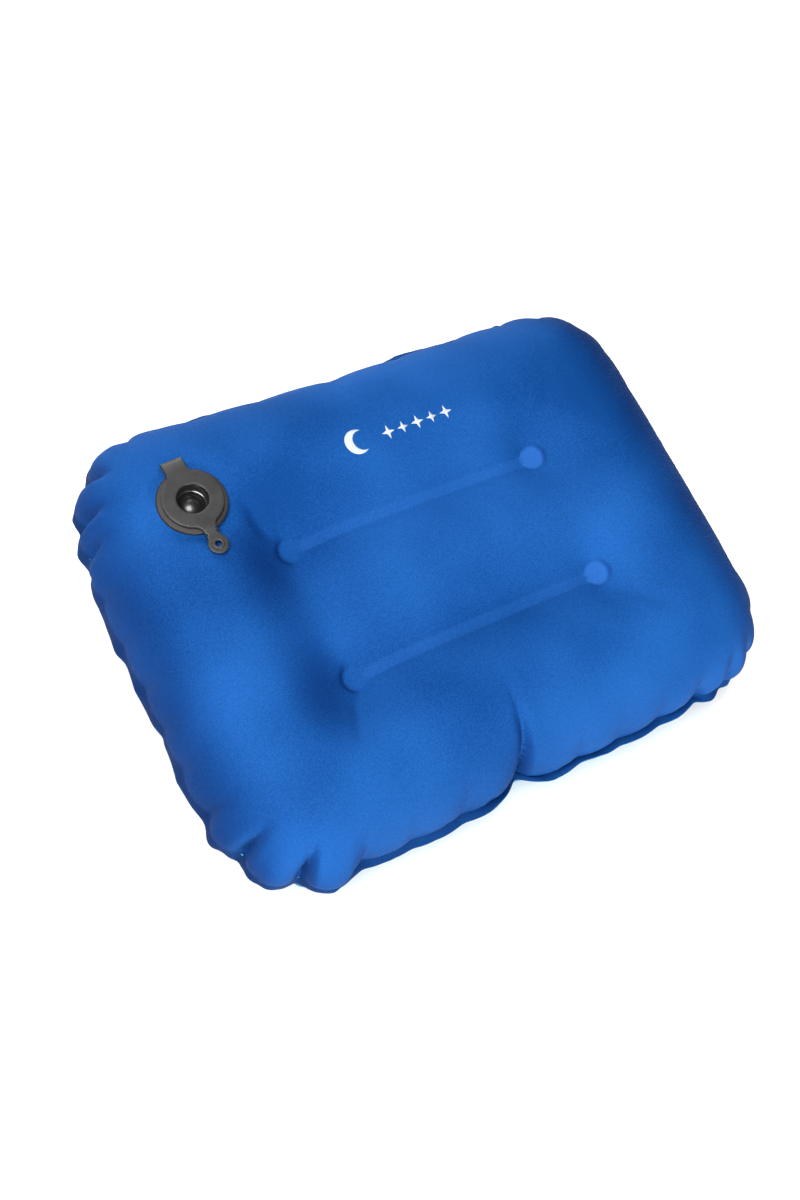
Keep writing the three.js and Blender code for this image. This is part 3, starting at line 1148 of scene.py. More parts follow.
    def pull(self, weld: Weld, x: np.ndarray, y: np.ndarray) -> np.ndarray:
        """How strongly a web draws the skin in: gently beside it, steeply past its ends.

        Args:
            weld: the web's weld.
            x: flat X of each point.
            y: flat Y of each point.

        Returns:
            The pull at each point, from 0 to 1.
        """
        past = np.maximum(np.abs(x - weld.centre_x) - weld.span / 2, 0) / self.end_reach
        beside = np.abs(y - weld.y) / self.side_reach
        return np.maximum(1 - past, 0) ** 2.1 * np.maximum(1 - beside, 0) ** 1.6

    def tuck(self, edge: np.ndarray) -> np.ndarray:
        """How far the flange is turned down under the bulge.

        Args:
            edge: points of the outline.

        Returns:
            The share at each point, from 0 for level to 1 for turned fully down.
        """
        blend = np.full(len(edge), self.least_tuck)
        for stretch in TUCKED:
            blend = np.maximum(blend, stretch.share(edge))
        return blend * blend * (3 - 2 * blend)

    def flange_ripple(self, edge: np.ndarray) -> np.ndarray:
        """Height of the flange's wavy rim.

        Args:
            edge: points of the outline.

        Returns:
            The height at each point, above or below the flange's middle.
        """
        angle = np.arctan2(edge[:, 1] * self.outline.half_length / self.outline.half_depth, edge[:, 0])
        waves = sum(size * np.sin(count * angle + phase) for size, count, phase in self.ripples)
        return self.ripple * waves

    def inflate(self) -> None:
        """Builds both skins as one welded mesh and lets the cloth find its shape."""
        flat, triangles = self.cut_sheet()
        x, y = flat[:, 0], flat[:, 1]
        depth, edge, _ = self.outline.measure(x, y)
        welded = depth <= self.flange + 1e-6
        top = np.arange(len(flat))
        bottom = top.copy()
        bottom[~welded] = len(flat) + np.arange(int((~welded).sum()))
        points = np.zeros((bottom.max() + 1, 3))
        points[bottom] = self.shape(flat, Side.BOTTOM)
        points[top] = self.shape(flat, Side.TOP)

        self.faces, self.kinds = [], []
        for face in triangles:
            if all(welded[i] for i in face):
                self.faces.append(face)
                self.kinds.append(None)
            else:
                self.faces.append(face)
                self.kinds.append(Side.TOP)
                self.faces.append(tuple(int(bottom[i]) for i in reversed(face)))
                self.kinds.append(Side.BOTTOM)

        on_weld = np.min([weld.edge_distance(x, y) for weld in self.welds], axis=0) < 0.1 * MM
        centre, out = self.valve.origin, self.valve.out
        on_seat = np.hypot(x - centre.x, y - centre.y) < self.seat + 0.1 * MM
        seat_z = centre.z - self.middle - (out.x * (x - centre.x) + out.y * (y - centre.y)) / out.z
        points[top[on_weld], 2] = self.weld_height
        points[bottom[on_weld], 2] = -self.weld_height
        points[top[on_seat], 2] = seat_z[on_seat] - 0.5 * self.ply
        held = np.zeros(len(points), bool)
        held[top[on_weld | on_seat]] = True
        held[bottom[on_weld]] = True
        for pucker in PUCKERS:
            apex = (self.gap_to(pucker, edge) < 0.3 * pucker.width) & welded & (pucker.depth > 3 * MM)
            held[top[apex]] = True

        pressed = np.unique(np.concatenate([top[depth > self.flange - 1e-6], bottom[~welded]]))
        points = self.relax(points, held, pressed)
        points = self.press_details(points, flat, top, bottom)
        points[:, 2] += self.middle
        points[:, 2] = self.rest_on_floor(points[:, 2])
        self.points = points

        self.sharpness = np.zeros(len(points))
        inward = depth - self.flange
        for pucker in PUCKERS:
            if pucker.groove > self.deep_groove:
                folded = (self.gap_to(pucker, edge) < 0.2 * MM) & (inward > 0)
                self.sharpness[top[folded & (inward < 0.7 * pucker.crease)]] = self.sharp
        self.sharpness[top[np.abs(depth - self.flange) < 1e-6]] = 1.0
        self.marks = {"weld": np.zeros(len(points)), "rim": np.zeros(len(points))}
        for index in (top, bottom):
            self.marks["rim"][index[welded]] = 1.0
            for weld in self.welds:
                self.marks["weld"][index[weld.edge_distance(x, y) < 0.1 * MM]] = weld.band_tone
                # Besides the welds' pressed tone, the pads' tones add painted light on the right pads and
                # painted shade on the left ones.
                for (px, py), tone in zip(weld.pads(), weld.pad_press_and_light):
                    on_pad = np.hypot(x - px, y - py) < weld.pad + 0.1 * MM
                    self.marks["weld"][index[on_pad]] = tone

    def press_details(self, points: np.ndarray, flat: np.ndarray, top: np.ndarray,
                      bottom: np.ndarray) -> np.ndarray:
        """Adds what is finer than the cloth's own folds: creases at the puckers, crisp welds.

        Args:
            points: the relaxed points.
            flat: the flat points.
            top: index of each flat point in the top skin.
            bottom: index of each flat point in the bottom skin.

        Returns:
            The points with their details.
        """
        x, y = flat[:, 0], flat[:, 1]
        depth, edge, _ = self.outline.measure(x, y)
        normals = self.normals(points)
        push = np.zeros(len(flat))
        beside, width, share = self.ridge
        for pucker in PUCKERS:
            spot, out = self.outline.at(self.outline.nearest(pucker.x, pucker.y))
            tangent = np.array((-out.y, out.x))
            gap = (edge - np.array(spot)) @ tangent
            far = self.gap_to(pucker, edge)
            line = np.exp(-(far / self.groove_width) ** 1.3)
            ridge = np.exp(-((gap - beside) / width) ** 2) * (far < 20 * MM)
            inward = (depth - self.flange) / pucker.crease
            fade = np.clip(inward * 8, 0, 1) * np.clip(1.6 * (1 - inward), 0, 1) ** 1.2
            fade = np.where(inward > 0, fade, 0)
            push += (share * ridge - line) * pucker.groove * fade
        points = points.copy()
        free = depth > self.flange + 1e-6
        for index, strength in ((top, 1.0), (bottom, self.groove_share)):
            points[index[free]] += normals[index[free]] * (strength * push[free])[:, None]
        valley = VALLEY.dip(x, y)
        points[top, 2] -= valley
        points[bottom, 2] += valley
        self.keep_behind_flange(points, flat, top, bottom)
        for weld in self.welds:
            relief = weld.relief(x, y) - weld.sag(x, y)
            points[top, 2] += relief
            points[bottom, 2] -= relief
        return points

    def keep_behind_flange(self, points: np.ndarray, flat: np.ndarray, top: np.ndarray,
                           bottom: np.ndarray) -> None:
        """Draws the bottom skin back where it would bulge out past the flange that hangs over it.

        Args:
            points: the points, changed in place.
            flat: the flat points.
            top: index of each flat point in the top skin.
            bottom: index of each flat point in the bottom skin.
        """
        depth, edge, out = self.outline.measure(flat[:, 0], flat[:, 1])
        line = np.flatnonzero(np.abs(depth - self.flange) < 1e-6)
        low = np.flatnonzero((depth > self.flange + 1e-6) & (depth < self.flange + 30 * MM))
        gaps = np.linalg.norm(edge[low][:, None, :] - edge[line][None, :, :], axis=2)
        root = points[top[line[gaps.argmin(axis=1)]]]
        skin = points[bottom[low]]
        past = ((skin - root)[:, :2] * out[low]).sum(axis=1) + self.clear
        beside = np.clip(2 - (root[:, 2] - skin[:, 2]) / self.hang_reach, 0, 1)
        points[bottom[low], :2] -= out[low] * (np.maximum(past, 0) * beside)[:, None]

    def normals(self, points: np.ndarray) -> np.ndarray:
        """Outward direction of the skins.

        Args:
            points: the points of both skins.

        Returns:
            The direction at each point.
        """
        total = np.zeros_like(points)
        for face, kind in zip(self.faces, self.kinds):
            if kind is not None:
                a, b, c = (points[i] for i in face)
                total[list(face)] += np.cross(b - a, c - a)
        size = np.linalg.norm(total, axis=1, keepdims=True)
        return total / np.maximum(size, 1e-12)

    def rest_on_floor(self, height: np.ndarray) -> np.ndarray:
        """Flattens what would reach below the floor, with a soft turn at the edge of the contact.

        Args:
            height: height of each point.

        Returns:
            The heights, all above the floor.
        """
        soft = 1.2 * MM
        low = self.ply + soft * np.log1p(np.exp(np.clip((height - self.ply) / soft, -30, 30)))
        return np.where(height < 12 * MM, low, height)

    def relax(self, points: np.ndarray, held: np.ndarray, pressed: np.ndarray) -> np.ndarray:
        """Runs the cloth simulation under air pressure.

        Args:
            points: the first shape.
            held: which points stay where they are.
            pressed: indices of the points that feel the air.

        Returns:
            The relaxed points.
        """
        piece = link("cloth", mesh_of("cloth", points, self.faces))
        pins = piece.vertex_groups.new(name="held")
        pins.add([int(i) for i in np.flatnonzero(held)], 1.0, "REPLACE")
        air = piece.vertex_groups.new(name="air")
        air.add([int(i) for i in pressed], 1.0, "REPLACE")
        cloth = piece.modifiers.new("inflate", "CLOTH")
        settings = cloth.settings
        settings.quality = 8
        settings.mass = 0.001
        settings.tension_stiffness = self.stiffness
        settings.compression_stiffness = self.stiffness
        settings.shear_stiffness = 0.3 * self.stiffness
        settings.bending_model = "ANGULAR"
        settings.bending_stiffness = self.bending
        settings.tension_damping = settings.compression_damping = settings.shear_damping = 0.5
        settings.bending_damping = 0.1
        settings.air_damping = 0.5
        settings.vertex_group_mass = pins.name
        settings.use_pressure = True
        settings.uniform_pressure_force = self.pressure
        settings.vertex_group_pressure = air.name
        settings.effector_weights.gravity = 0
        cloth.collision_settings.use_collision = False
        cloth.point_cache.frame_start = 1
        cloth.point_cache.frame_end = self.frames
        scene = bpy.context.scene
        for step in range(1, self.frames + 1):
            scene.frame_set(step)
        graph = bpy.context.evaluated_depsgraph_get()
        result = piece.evaluated_get(graph).to_mesh()
        flat = np.empty(len(result.vertices) * 3)
        result.vertices.foreach_get("co", flat)
        piece.evaluated_get(graph).to_mesh_clear()
        data = piece.data
        bpy.data.objects.remove(piece)
        bpy.data.meshes.remove(data)
        scene.frame_set(1)
        return flat.reshape(-1, 3)

    def skin(self, name: str, side: Side) -> bpy.types.Object:
        """Makes one skin: its half of the bulge and its ply of the flange.

        Args:
            name: the piece's name.
            side: which skin.

        Returns:
            The skin, with its thickness.
        """
        faces = []
        centre = self.valve.origin
        for face, kind in zip(self.faces, self.kinds):
            if kind is None:
                faces.append(face if side is Side.TOP else tuple(reversed(face)))
            elif kind is side:
                middle = self.points[list(face)].mean(axis=0)
                in_port = math.hypot(middle[0] - centre.x, middle[1] - centre.y) < self.port
                if side is Side.TOP and in_port:
                    continue
                faces.append(face)
        used = sorted({i for face in faces for i in face})
        number = {old: new for new, old in enumerate(used)}
        faces = [tuple(number[i] for i in face) for face in faces]
        piece = link(name, mesh_of(name, self.points[used], faces))
        for label, values in self.marks.items():
            marks = piece.data.attributes.new(label, "FLOAT", "POINT")
            marks.data.foreach_set("value", values[used].astype(np.float32))
        crease = piece.data.attributes.new("crease_edge", "FLOAT", "EDGE")
        sharp = self.sharpness[used]
        for line in piece.data.edges:
            crease.data[line.index].value = float(sharp[list(line.vertices)].min())
        smooth = piece.modifiers.new("smooth", "SUBSURF")
        smooth.levels = smooth.render_levels = 1
        thick = piece.modifiers.new("fabric", "SOLIDIFY")
        thick.thickness = self.ply
        thick.offset = 1.0
        return piece


# ---------------------------------------------------------------- the valve
@dataclass(frozen=True)
class Valve:
    """Lift-lid valve: base, lid with its hinge strap and pull tab, mouth cup and check flap.

    Sizes are in millimetres in the valve's frame.

    Attributes:
        axis: the valve's frame.
        lid_radius: radius of the lid.
        mouth_radius: radius of the hole for the mouth.
        lid_low: height of the lid's underside.
        lid_high: height of its upper side.
        strap_half: half the width of the hinge strap.
        strap_fillet: radius where the strap meets the lid.
        neck_half: half the width of the pull tab's neck.
        neck_fillet: radius where the neck meets the lid.
        tab_centre: where the pull tab's eye lies.
        tab_radius: radius of the tab's round end.
        tab_fillet: radius where the neck meets that end.
        tab_hole: radius of the tab's hole.
        fold_centre: where the strap folds over.
        fold_radius: radius of the fold's middle line.
        strap_end: where the strap's lower half ends under the lid.
        scale: size of the moulding against the CAD valve, seen from above.
    """

    axis: ValveAxis
    lid_radius: float = 19.0
    mouth_radius: float = 9.9
    lid_low: float = 3.0
    lid_high: float = 4.9
    strap_half: float = 6.9
    strap_fillet: float = 6.0
    neck_half: float = 4.1
    neck_fillet: float = 6.0
    tab_centre: float = -32.6
    tab_radius: float = 6.4
    tab_fillet: float = 4.0
    tab_hole: float = 2.0
    fold_centre: float = 27.4
    fold_radius: float = 1.35
    strap_end: float = 15.0
    scale: float = 0.935

    @property
    def place(self) -> Matrix:
        """The valve's frame, with the moulding's shrinkage."""
        return self.axis.place @ Matrix.Diagonal((self.scale, self.scale, 1, 1))

    def build(self, moulded: bpy.types.Material, base: bpy.types.Material,
              glossy: bpy.types.Material, rubber: bpy.types.Material) -> None:
        """Builds and dresses the valve's pieces.

        Args:
            moulded: finish of the lid.
            base: finish of the base.
            glossy: finish of the mouth's polished wall.
            rubber: finish of the check flap.
        """
        lid = self.lid_plate()
        lid.data.materials.append(moulded)
        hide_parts("valve_lid")
        self.place @ (Vector((0, self.fold_centre, 1.7)) * MM)
        self.place @ (Vector((0, self.fold_centre, 2.95)) * MM)
        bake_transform(lid)
        log.info("%s: %d faces", lid.name, len(lid.data.polygons))
        turned_pieces = (
            ("valve_mouth", MOUTH, glossy, "lid", "valve_lid", "valve_lid"),
            ("tab_eyelet", EYELET, moulded, "lid", "valve_lid", "valve_lid"),
            ("valve_base_ring", BASE, base, "pillow", "valve_base", "valve_body"),
            ("check_flap_dome", FLAP, rubber, "flap", "check_flap", "flap_silicone"),
        )
        for name, profile, finish, body, node, slot in turned_pieces:
            place = self.place
            if name == "tab_eyelet":
                place = place @ Matrix.Translation((0, self.tab_centre * MM, 0))
            piece = turned(name, profile, place, closed=profile[0][0] > 0)
            piece.data.materials.append(finish)
            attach(piece, body)
            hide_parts(node)
            log.info("%s: %d faces", piece.name, len(piece.data.polygons))

    def half_outline(self) -> list[Point2]:
        """Draws the right half of the flat lid's outline.

        Returns:
            Points from the tab's tip to the strap's end.
        """
        def arc(cx: float, cy: float, radius: float, start: float, end: float) -> list[Point2]:
            """Draws an arc with points about 0.9 mm apart.

            Args:
                cx: X of its centre.
                cy: Y of its centre.
                radius: its radius.
                start: angle of its first point.
                end: angle of its last point.

            Returns:
                Its points.
            """
            count = max(2, round(abs(end - start) * radius / 0.9))
            return [(cx + radius * math.cos(start + (end - start) * k / count),
                     cy + radius * math.sin(start + (end - start) * k / count)) for k in range(count + 1)]

        ring, fillet = self.tab_radius, self.tab_fillet
        dip_x = self.neck_half + fillet
        dip_y = self.tab_centre + math.sqrt((ring + fillet) ** 2 - dip_x ** 2)
        to_ring = math.atan2(dip_y - self.tab_centre, dip_x)
        line = arc(0, self.tab_centre, ring, -math.pi / 2, to_ring)[:-1]
        line += arc(dip_x, dip_y, fillet, math.pi + to_ring, math.pi)
        neck_x = self.neck_half + self.neck_fillet
        neck_y = -math.sqrt((self.lid_radius + self.neck_fillet) ** 2 - neck_x ** 2)
        to_disc = math.atan2(neck_y, neck_x)
        line += arc(neck_x, neck_y, self.neck_fillet, math.pi, math.pi + to_disc)[:-1]
        hinge_x = self.strap_half + self.strap_fillet
        hinge_y = math.sqrt((self.lid_radius + self.strap_fillet) ** 2 - hinge_x ** 2)
        to_strap = math.atan2(hinge_y, hinge_x)
        line += arc(0, 0, self.lid_radius, to_disc, to_strap)[:-1]
        line += arc(hinge_x, hinge_y, self.strap_fillet, math.pi + to_strap, math.pi)
        end = self.strap_path()[-1][0]
        steps = round((end - hinge_y) / 0.7)
        line += [(self.strap_half, hinge_y + (end - hinge_y) * k / steps) for k in range(1, steps + 1)]
        return line

    def strap_path(self) -> list[tuple[float, float, float, float]]:
        """Lays out the middle line of the lid and its strap, folded over at the hinge.

        Returns:
            Flat length, Y, height and half thickness of each point.
        """
        middle, half = (self.lid_low + self.lid_high) / 2, (self.lid_high - self.lid_low) / 2
        turn_z = self.fold_radius + 0.9
        nodes = [(-45.0, 3.75, 0.75), (-24.0, 3.75, 0.75), (-21.0, middle, half), (20.5, middle, half),
                 (22.5, middle - 0.02, half - 0.06), (24.5, 3.86, 0.78), (26.6, 3.70, 0.65)]
        for k in range(13):
            angle = math.pi / 2 - math.pi * k / 12
            nodes.append((self.fold_centre + self.fold_radius * math.cos(angle),
                          turn_z + self.fold_radius * math.sin(angle), 0.6))
        nodes += [(22.0, 0.9, 0.6), (self.strap_end, 0.9, 0.6)]
        path = []
        flat = nodes[0][0]
        for k, (y, z, half) in enumerate(nodes):
            if k:
                flat += math.hypot(y - nodes[k - 1][0], z - nodes[k - 1][1])
            path.append((flat, y, z, half))
        return path

    def lid_sheet(self) -> tuple[np.ndarray, list[tuple[int, ...]]]:
        """Meshes the lid, its pull tab and its hinge strap as one flat sheet with two holes.

        Returns:
            The flat points and the triangles.
        """
        right = self.half_outline()
        end = right[-1][1]
        across = [(x, end) for x in (4.2, 1.4, -1.4, -4.2)]
        outer = right + across + [(-x, y) for x, y in reversed(right) if abs(x) > 1e-6]
        holes = ((0.0, self.mouth_radius, 64), (self.tab_centre, self.tab_hole, 20))
        loops = [outer]
        for cy, radius, count in holes:
            loops.append([(radius * math.cos(2 * math.pi * k / count),
                           cy + radius * math.sin(2 * math.pi * k / count)) for k in range(count)])
        points: list[Point2] = []
        edges: list[tuple[int, int]] = []
        for loop in loops:
            start = len(points)
            points += loop
            edges += [(start + k, start + (k + 1) % len(loop)) for k in range(len(loop))]
        shape = np.array(outer)
        step = 1.5
        for j in range(-30, 40):
            for i in range(-14, 15):
                spot = np.array(((i + 0.5 * (j % 2)) * step, j * step * 0.87))
                clear = all(math.hypot(spot[0], spot[1] - cy) > radius + 0.8 for cy, radius, _ in holes)
                if clear and inside(spot, shape) and np.hypot(*(shape - spot).T).min() > 0.9:
                    points.append(tuple(spot))
        made = delaunay_2d_cdt([Vector(p) for p in points], edges, [], 1, 1e-6)
        flat = np.array([tuple(v) for v in made[0]])
        faces = []
        for face in made[2]:
            mid = flat[list(face)].mean(axis=0)
            in_hole = any(math.hypot(mid[0], mid[1] - cy) < radius for cy, radius, _ in holes)
            if inside(mid, shape) and not in_hole:
                faces.append(tuple(face))
        return flat, faces

    def lid_plate(self) -> bpy.types.Object:
        """Folds the flat lid over at the hinge and gives it its thickness.

        Returns:
            The lid with its pull tab and strap.
        """
        flat, faces = self.lid_sheet()
        path = np.array(self.strap_path())
        slope = np.gradient(path[:, 1:3], path[:, 0], axis=0)
        slope /= np.linalg.norm(slope, axis=1, keepdims=True)
        y = np.interp(flat[:, 1], path[:, 0], path[:, 1])
        z = np.interp(flat[:, 1], path[:, 0], path[:, 2])
        half = np.interp(flat[:, 1], path[:, 0], path[:, 3])
        up_y = -np.interp(flat[:, 1], path[:, 0], slope[:, 1])
        up_z = np.interp(flat[:, 1], path[:, 0], slope[:, 0])
        above = np.column_stack([flat[:, 0], y + up_y * half, z + up_z * half])
        below = np.column_stack([flat[:, 0], y - up_y * half, z - up_z * half])
        count = len(flat)
        shell = [tuple(f) for f in faces] + [tuple(i + count for i in reversed(f)) for f in faces]
        uses: dict[tuple[int, int], int] = {}
        for face in faces:
            for a, b in zip(face, face[1:] + face[:1]):
                uses[(a, b)] = uses.get((a, b), 0) + 1
        shell += [(b, a, a + count, b + count) for a, b in uses if (b, a) not in uses]
        mesh = mesh_of("lid_plate", np.vstack([above, below]) * MM, shell)
        editor = bmesh.new()
        editor.from_mesh(mesh)
        loose = [v for v in editor.verts if not v.link_faces]
        bmesh.ops.delete(editor, geom=loose, context="VERTS")
        bmesh.ops.recalc_face_normals(editor, faces=editor.faces)
        editor.to_mesh(mesh)
        editor.free()
        piece = link("lid_plate", mesh)
        rounding = piece.modifiers.new("rounding", "BEVEL")
        rounding.width = 0.35 * MM
        rounding.segments = 3
        rounding.limit_method = "ANGLE"
        rounding.angle_limit = math.radians(50)
        return settle(piece, self.place)


def inside(spot: np.ndarray, shape: np.ndarray) -> bool:
    """Tells whether a point lies inside a closed outline.

    Args:
        spot: the point.
        shape: the outline's points.

    Returns:
        True inside it.
    """
    x, y = shape[:, 0], shape[:, 1]
    x2, y2 = np.roll(x, -1), np.roll(y, -1)
    spans = (y > spot[1]) != (y2 > spot[1])
    rise = np.where(y2 == y, 1e-12, y2 - y)
    crossing = x + (spot[1] - y) / rise * (x2 - x)
    return bool(np.count_nonzero(spans & (crossing > spot[0])) % 2)


# radius and height, in millimetres, of the turned pieces
MOUTH = [(9.75, 4.5), (9.45, -3.0), (8.5, -3.15), (8.5, -3.7), (9.0, -3.9), (9.0, -9.0), (10.2, -9.0),
         (11.6, 2.9), (11.2, 4.5)]
EYELET = [(1.85, 4.3), (3.8, 4.3), (3.7, 4.8), (3.3, 5.0), (2.4, 5.0), (2.0, 4.8)]
BASE = [(12.0, 2.7), (12.0, -9.5), (13.5, -9.5), (13.5, 0.2), (22.0, 0.2), (22.0, 0.9), (21.3, 1.7),
        (15.8, 1.7), (15.2, 2.7)]
FLAP = [(0, -1.1), (1.6, -1.2), (3.3, -1.55), (4.9, -2.15), (6.3, -2.95), (7.4, -3.85), (8.6, -4.05),
        (8.6, -4.8), (6.8, -4.8), (5.2, -3.9), (3.2, -3.0), (1.25, -2.6), (1.25, -9.1), (1.9, -9.7),
        (1.9, -10.3), (1.0, -10.9), (0, -10.9)]


# ---------------------------------------------------------------- the inner webs
@dataclass(frozen=True)
class Web:
    """One inner web: a strip of film between the skins, with a welded strip along each edge.

    Attributes:
        name: the piece's name.
        weld: the weld that holds it.
        middle: height of its middle above the floor.
        height: half its height.
        film: thickness of the film.
        columns: quads along it.
        rows: quads up it.
        sway: how far it bows sideways.
        draw: how much shorter it is drawn half way up.
    """

    name: str
    weld: Weld
    middle: float
    height: float
    film: float = 0.35 * MM
    columns: int = 60
    rows: int = 14
    sway: float = 0.5 * MM
    draw: float = 0.03

    def build(self, finish: bpy.types.Material, node: str) -> bpy.types.Object:
        """Builds and dresses the web.

        Args:
            finish: the film's finish.
            node: the CAD node that it stands for.

        Returns:
            The web.
        """
        half = self.weld.span / 2 + 0.6 * self.weld.pad
        rows: list[Point2] = [(self.weld.band * (1 - k / 3), -1.0) for k in range(3)]
        rows += [(0.0, -1 + 2 * k / self.rows) for k in range(self.rows + 1)]
        rows += [(self.weld.band * k / 3, 1.0) for k in range(1, 4)]
        points, faces = [], []
        for strip, level in rows:
            for k in range(self.columns + 1):
                share = -1 + 2 * k / self.columns
                sway = self.sway * math.sin(9 * share) * (1 - level * level)
                draw = 1 - self.draw * (1 - level * level)
                x = self.weld.centre_x + half * share * draw
                spot_x, spot_y = np.array([x]), np.array([self.weld.y])
                sag = float((self.weld.sag(spot_x, spot_y) + VALLEY.dip(spot_x, spot_y))[0])
                points.append((x, self.weld.y + strip + sway, self.middle + (self.height - sag) * level))
        width = self.columns + 1
        for row in range(len(rows) - 1):
            for k in range(self.columns):
                first = row * width + k
                faces.append((first, first + 1, first + 1 + width, first + width))
        piece = link(self.name, mesh_of(self.name, points, faces))
        thick = piece.modifiers.new("film", "SOLIDIFY")
        thick.thickness = self.film
        thick.offset = 0.0
        piece.data.materials.append(finish)
        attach(piece, "pillow")
        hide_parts(node)
        return piece


# ---------------------------------------------------------------- the print
@dataclass(frozen=True)
class PrintMark:
    """A small printed mark on the top skin: a crescent moon and a row of four-pointed stars.

    Attributes:
        skin: the top skin.
        lift: how far the ink stands off it.
        ink: thickness of the ink.
        step: spacing of the points inside each shape.
        moon: X, Y and radius of the crescent.
        stars: X and Y of the first star.
        star_pitch: how far apart the stars are along X and Y.
        star_sizes: radius of each star, in millimetres.
    """

    skin: bpy.types.Object
    lift: float = 0.12 * MM
    ink: float = 0.08 * MM
    step: float = 1.2 * MM
    moon: tuple[float, float, float] = (-0.029, 0.0790, 8.0 * MM)
    stars: Point2 = (-0.0075, 0.0785)
    star_pitch: Point2 = (0.0105, 0.0002)
    star_sizes: tuple[float, ...] = (4.6, 4.0, 4.6, 4.0, 4.6)

    def build(self, ink: bpy.types.Material) -> bpy.types.Object:
        """Lays the mark on the skin.

        Args:
            ink: the print's finish.

        Returns:
            The print.
        """
        first_x, first_y = self.stars
        pitch_x, pitch_y = self.star_pitch
        shapes = [self.crescent(*self.moon)]
        shapes += [self.star(first_x + pitch_x * k, first_y + pitch_y * k, size * MM)
                   for k, size in enumerate(self.star_sizes)]
        graph = bpy.context.evaluated_depsgraph_get()
        tree = BVHTree.FromObject(self.skin, graph)
        points, faces = [], []
        for shape in shapes:
            flat, triangles = self.fill(shape)
            start = len(points)
            for x, y in flat:
                hit, normal, _, _ = tree.ray_cast(Vector((x, y, 0.2)), Vector((0, 0, -1)))
                points.append(hit + normal * self.lift)
            faces += [tuple(i + start for i in face) for face in triangles]
        piece = link("print_mark", mesh_of("print_mark", points, faces))
        thick = piece.modifiers.new("ink", "SOLIDIFY")
        thick.thickness = self.ink
        thick.offset = 0.0
        piece.data.materials.append(ink)
        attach(piece, "pillow")
        return piece

    def fill(self, shape: list[Point2]) -> tuple[list[Point2], list[tuple[int, ...]]]:
        """Triangulates an outline finely enough to follow the skin.

        Args:
            shape: the outline.

        Returns:
            The points and the triangles.
        """
        outline = np.array(shape)
        low, high = outline.min(axis=0), outline.max(axis=0)
        points = list(shape)
        for x in np.arange(low[0], high[0], self.step):
            for y in np.arange(low[1], high[1], self.step):
                spot = np.array((x, y))
                if inside(spot, outline) and np.hypot(*(outline - spot).T).min() > 0.5 * self.step:
                    points.append((x, y))
        count = len(shape)
        edges = [(k, (k + 1) % count) for k in range(count)]
        made = delaunay_2d_cdt([Vector(p) for p in points], edges, [], 1, 1e-7)
        flat = [tuple(v) for v in made[0]]
        triangles = []
        for face in made[2]:
            mid = np.mean([flat[i] for i in face], axis=0)
            if inside(mid, outline):
                triangles.append(tuple(face))
        return flat, triangles

    def crescent(self, x: float, y: float, radius: float) -> list[Point2]:
        """Draws a crescent moon that opens to the right.

        Args:
            x: X of its centre.
            y: Y of its centre.
            radius: radius of its outer side.

        Returns:
            Its outline.
        """
        cut, shift = 0.80 * radius, 0.48 * radius
        meet_x = (radius ** 2 - cut ** 2 + shift ** 2) / (2 * shift)
        outer = math.acos(meet_x / radius)
        inner = math.acos((meet_x - shift) / cut)
        points = [(x + radius * math.cos(outer + (2 * math.pi - 2 * outer) * k / 40),
                   y + radius * math.sin(outer + (2 * math.pi - 2 * outer) * k / 40)) for k in range(41)]
        points += [(x + shift + cut * math.cos(-inner - (2 * math.pi - 2 * inner) * k / 32),
                    y + cut * math.sin(-inner - (2 * math.pi - 2 * inner) * k / 32)) for k in range(1, 32)]
        return points

    def star(self, x: float, y: float, size: float) -> list[Point2]:
        """Draws a four-pointed star with hollow sides.

        Args:
            x: X of its centre.
            y: Y of its centre.
            size: radius of its points.

        Returns:
            Its outline.
        """
        points = []
        for k in range(16):
            angle = math.pi / 8 * k
            radius = size * (1.0, 0.46, 0.34, 0.46)[k % 4]
            points.append((x + radius * math.cos(angle), y + radius * math.sin(angle)))
        return points


# ---------------------------------------------------------------- studio
@dataclass(frozen=True)
class Lamp:
    """A square soft lamp that faces the pillow.

    Attributes:
        name: its name.
        towards: its place from the pillow's middle, as a share of the lamps' distance.
        size: length of its sides.
        power: its power in watts.
    """

    name: str
    towards: tuple[float, float, float]
    size: float
    power: float


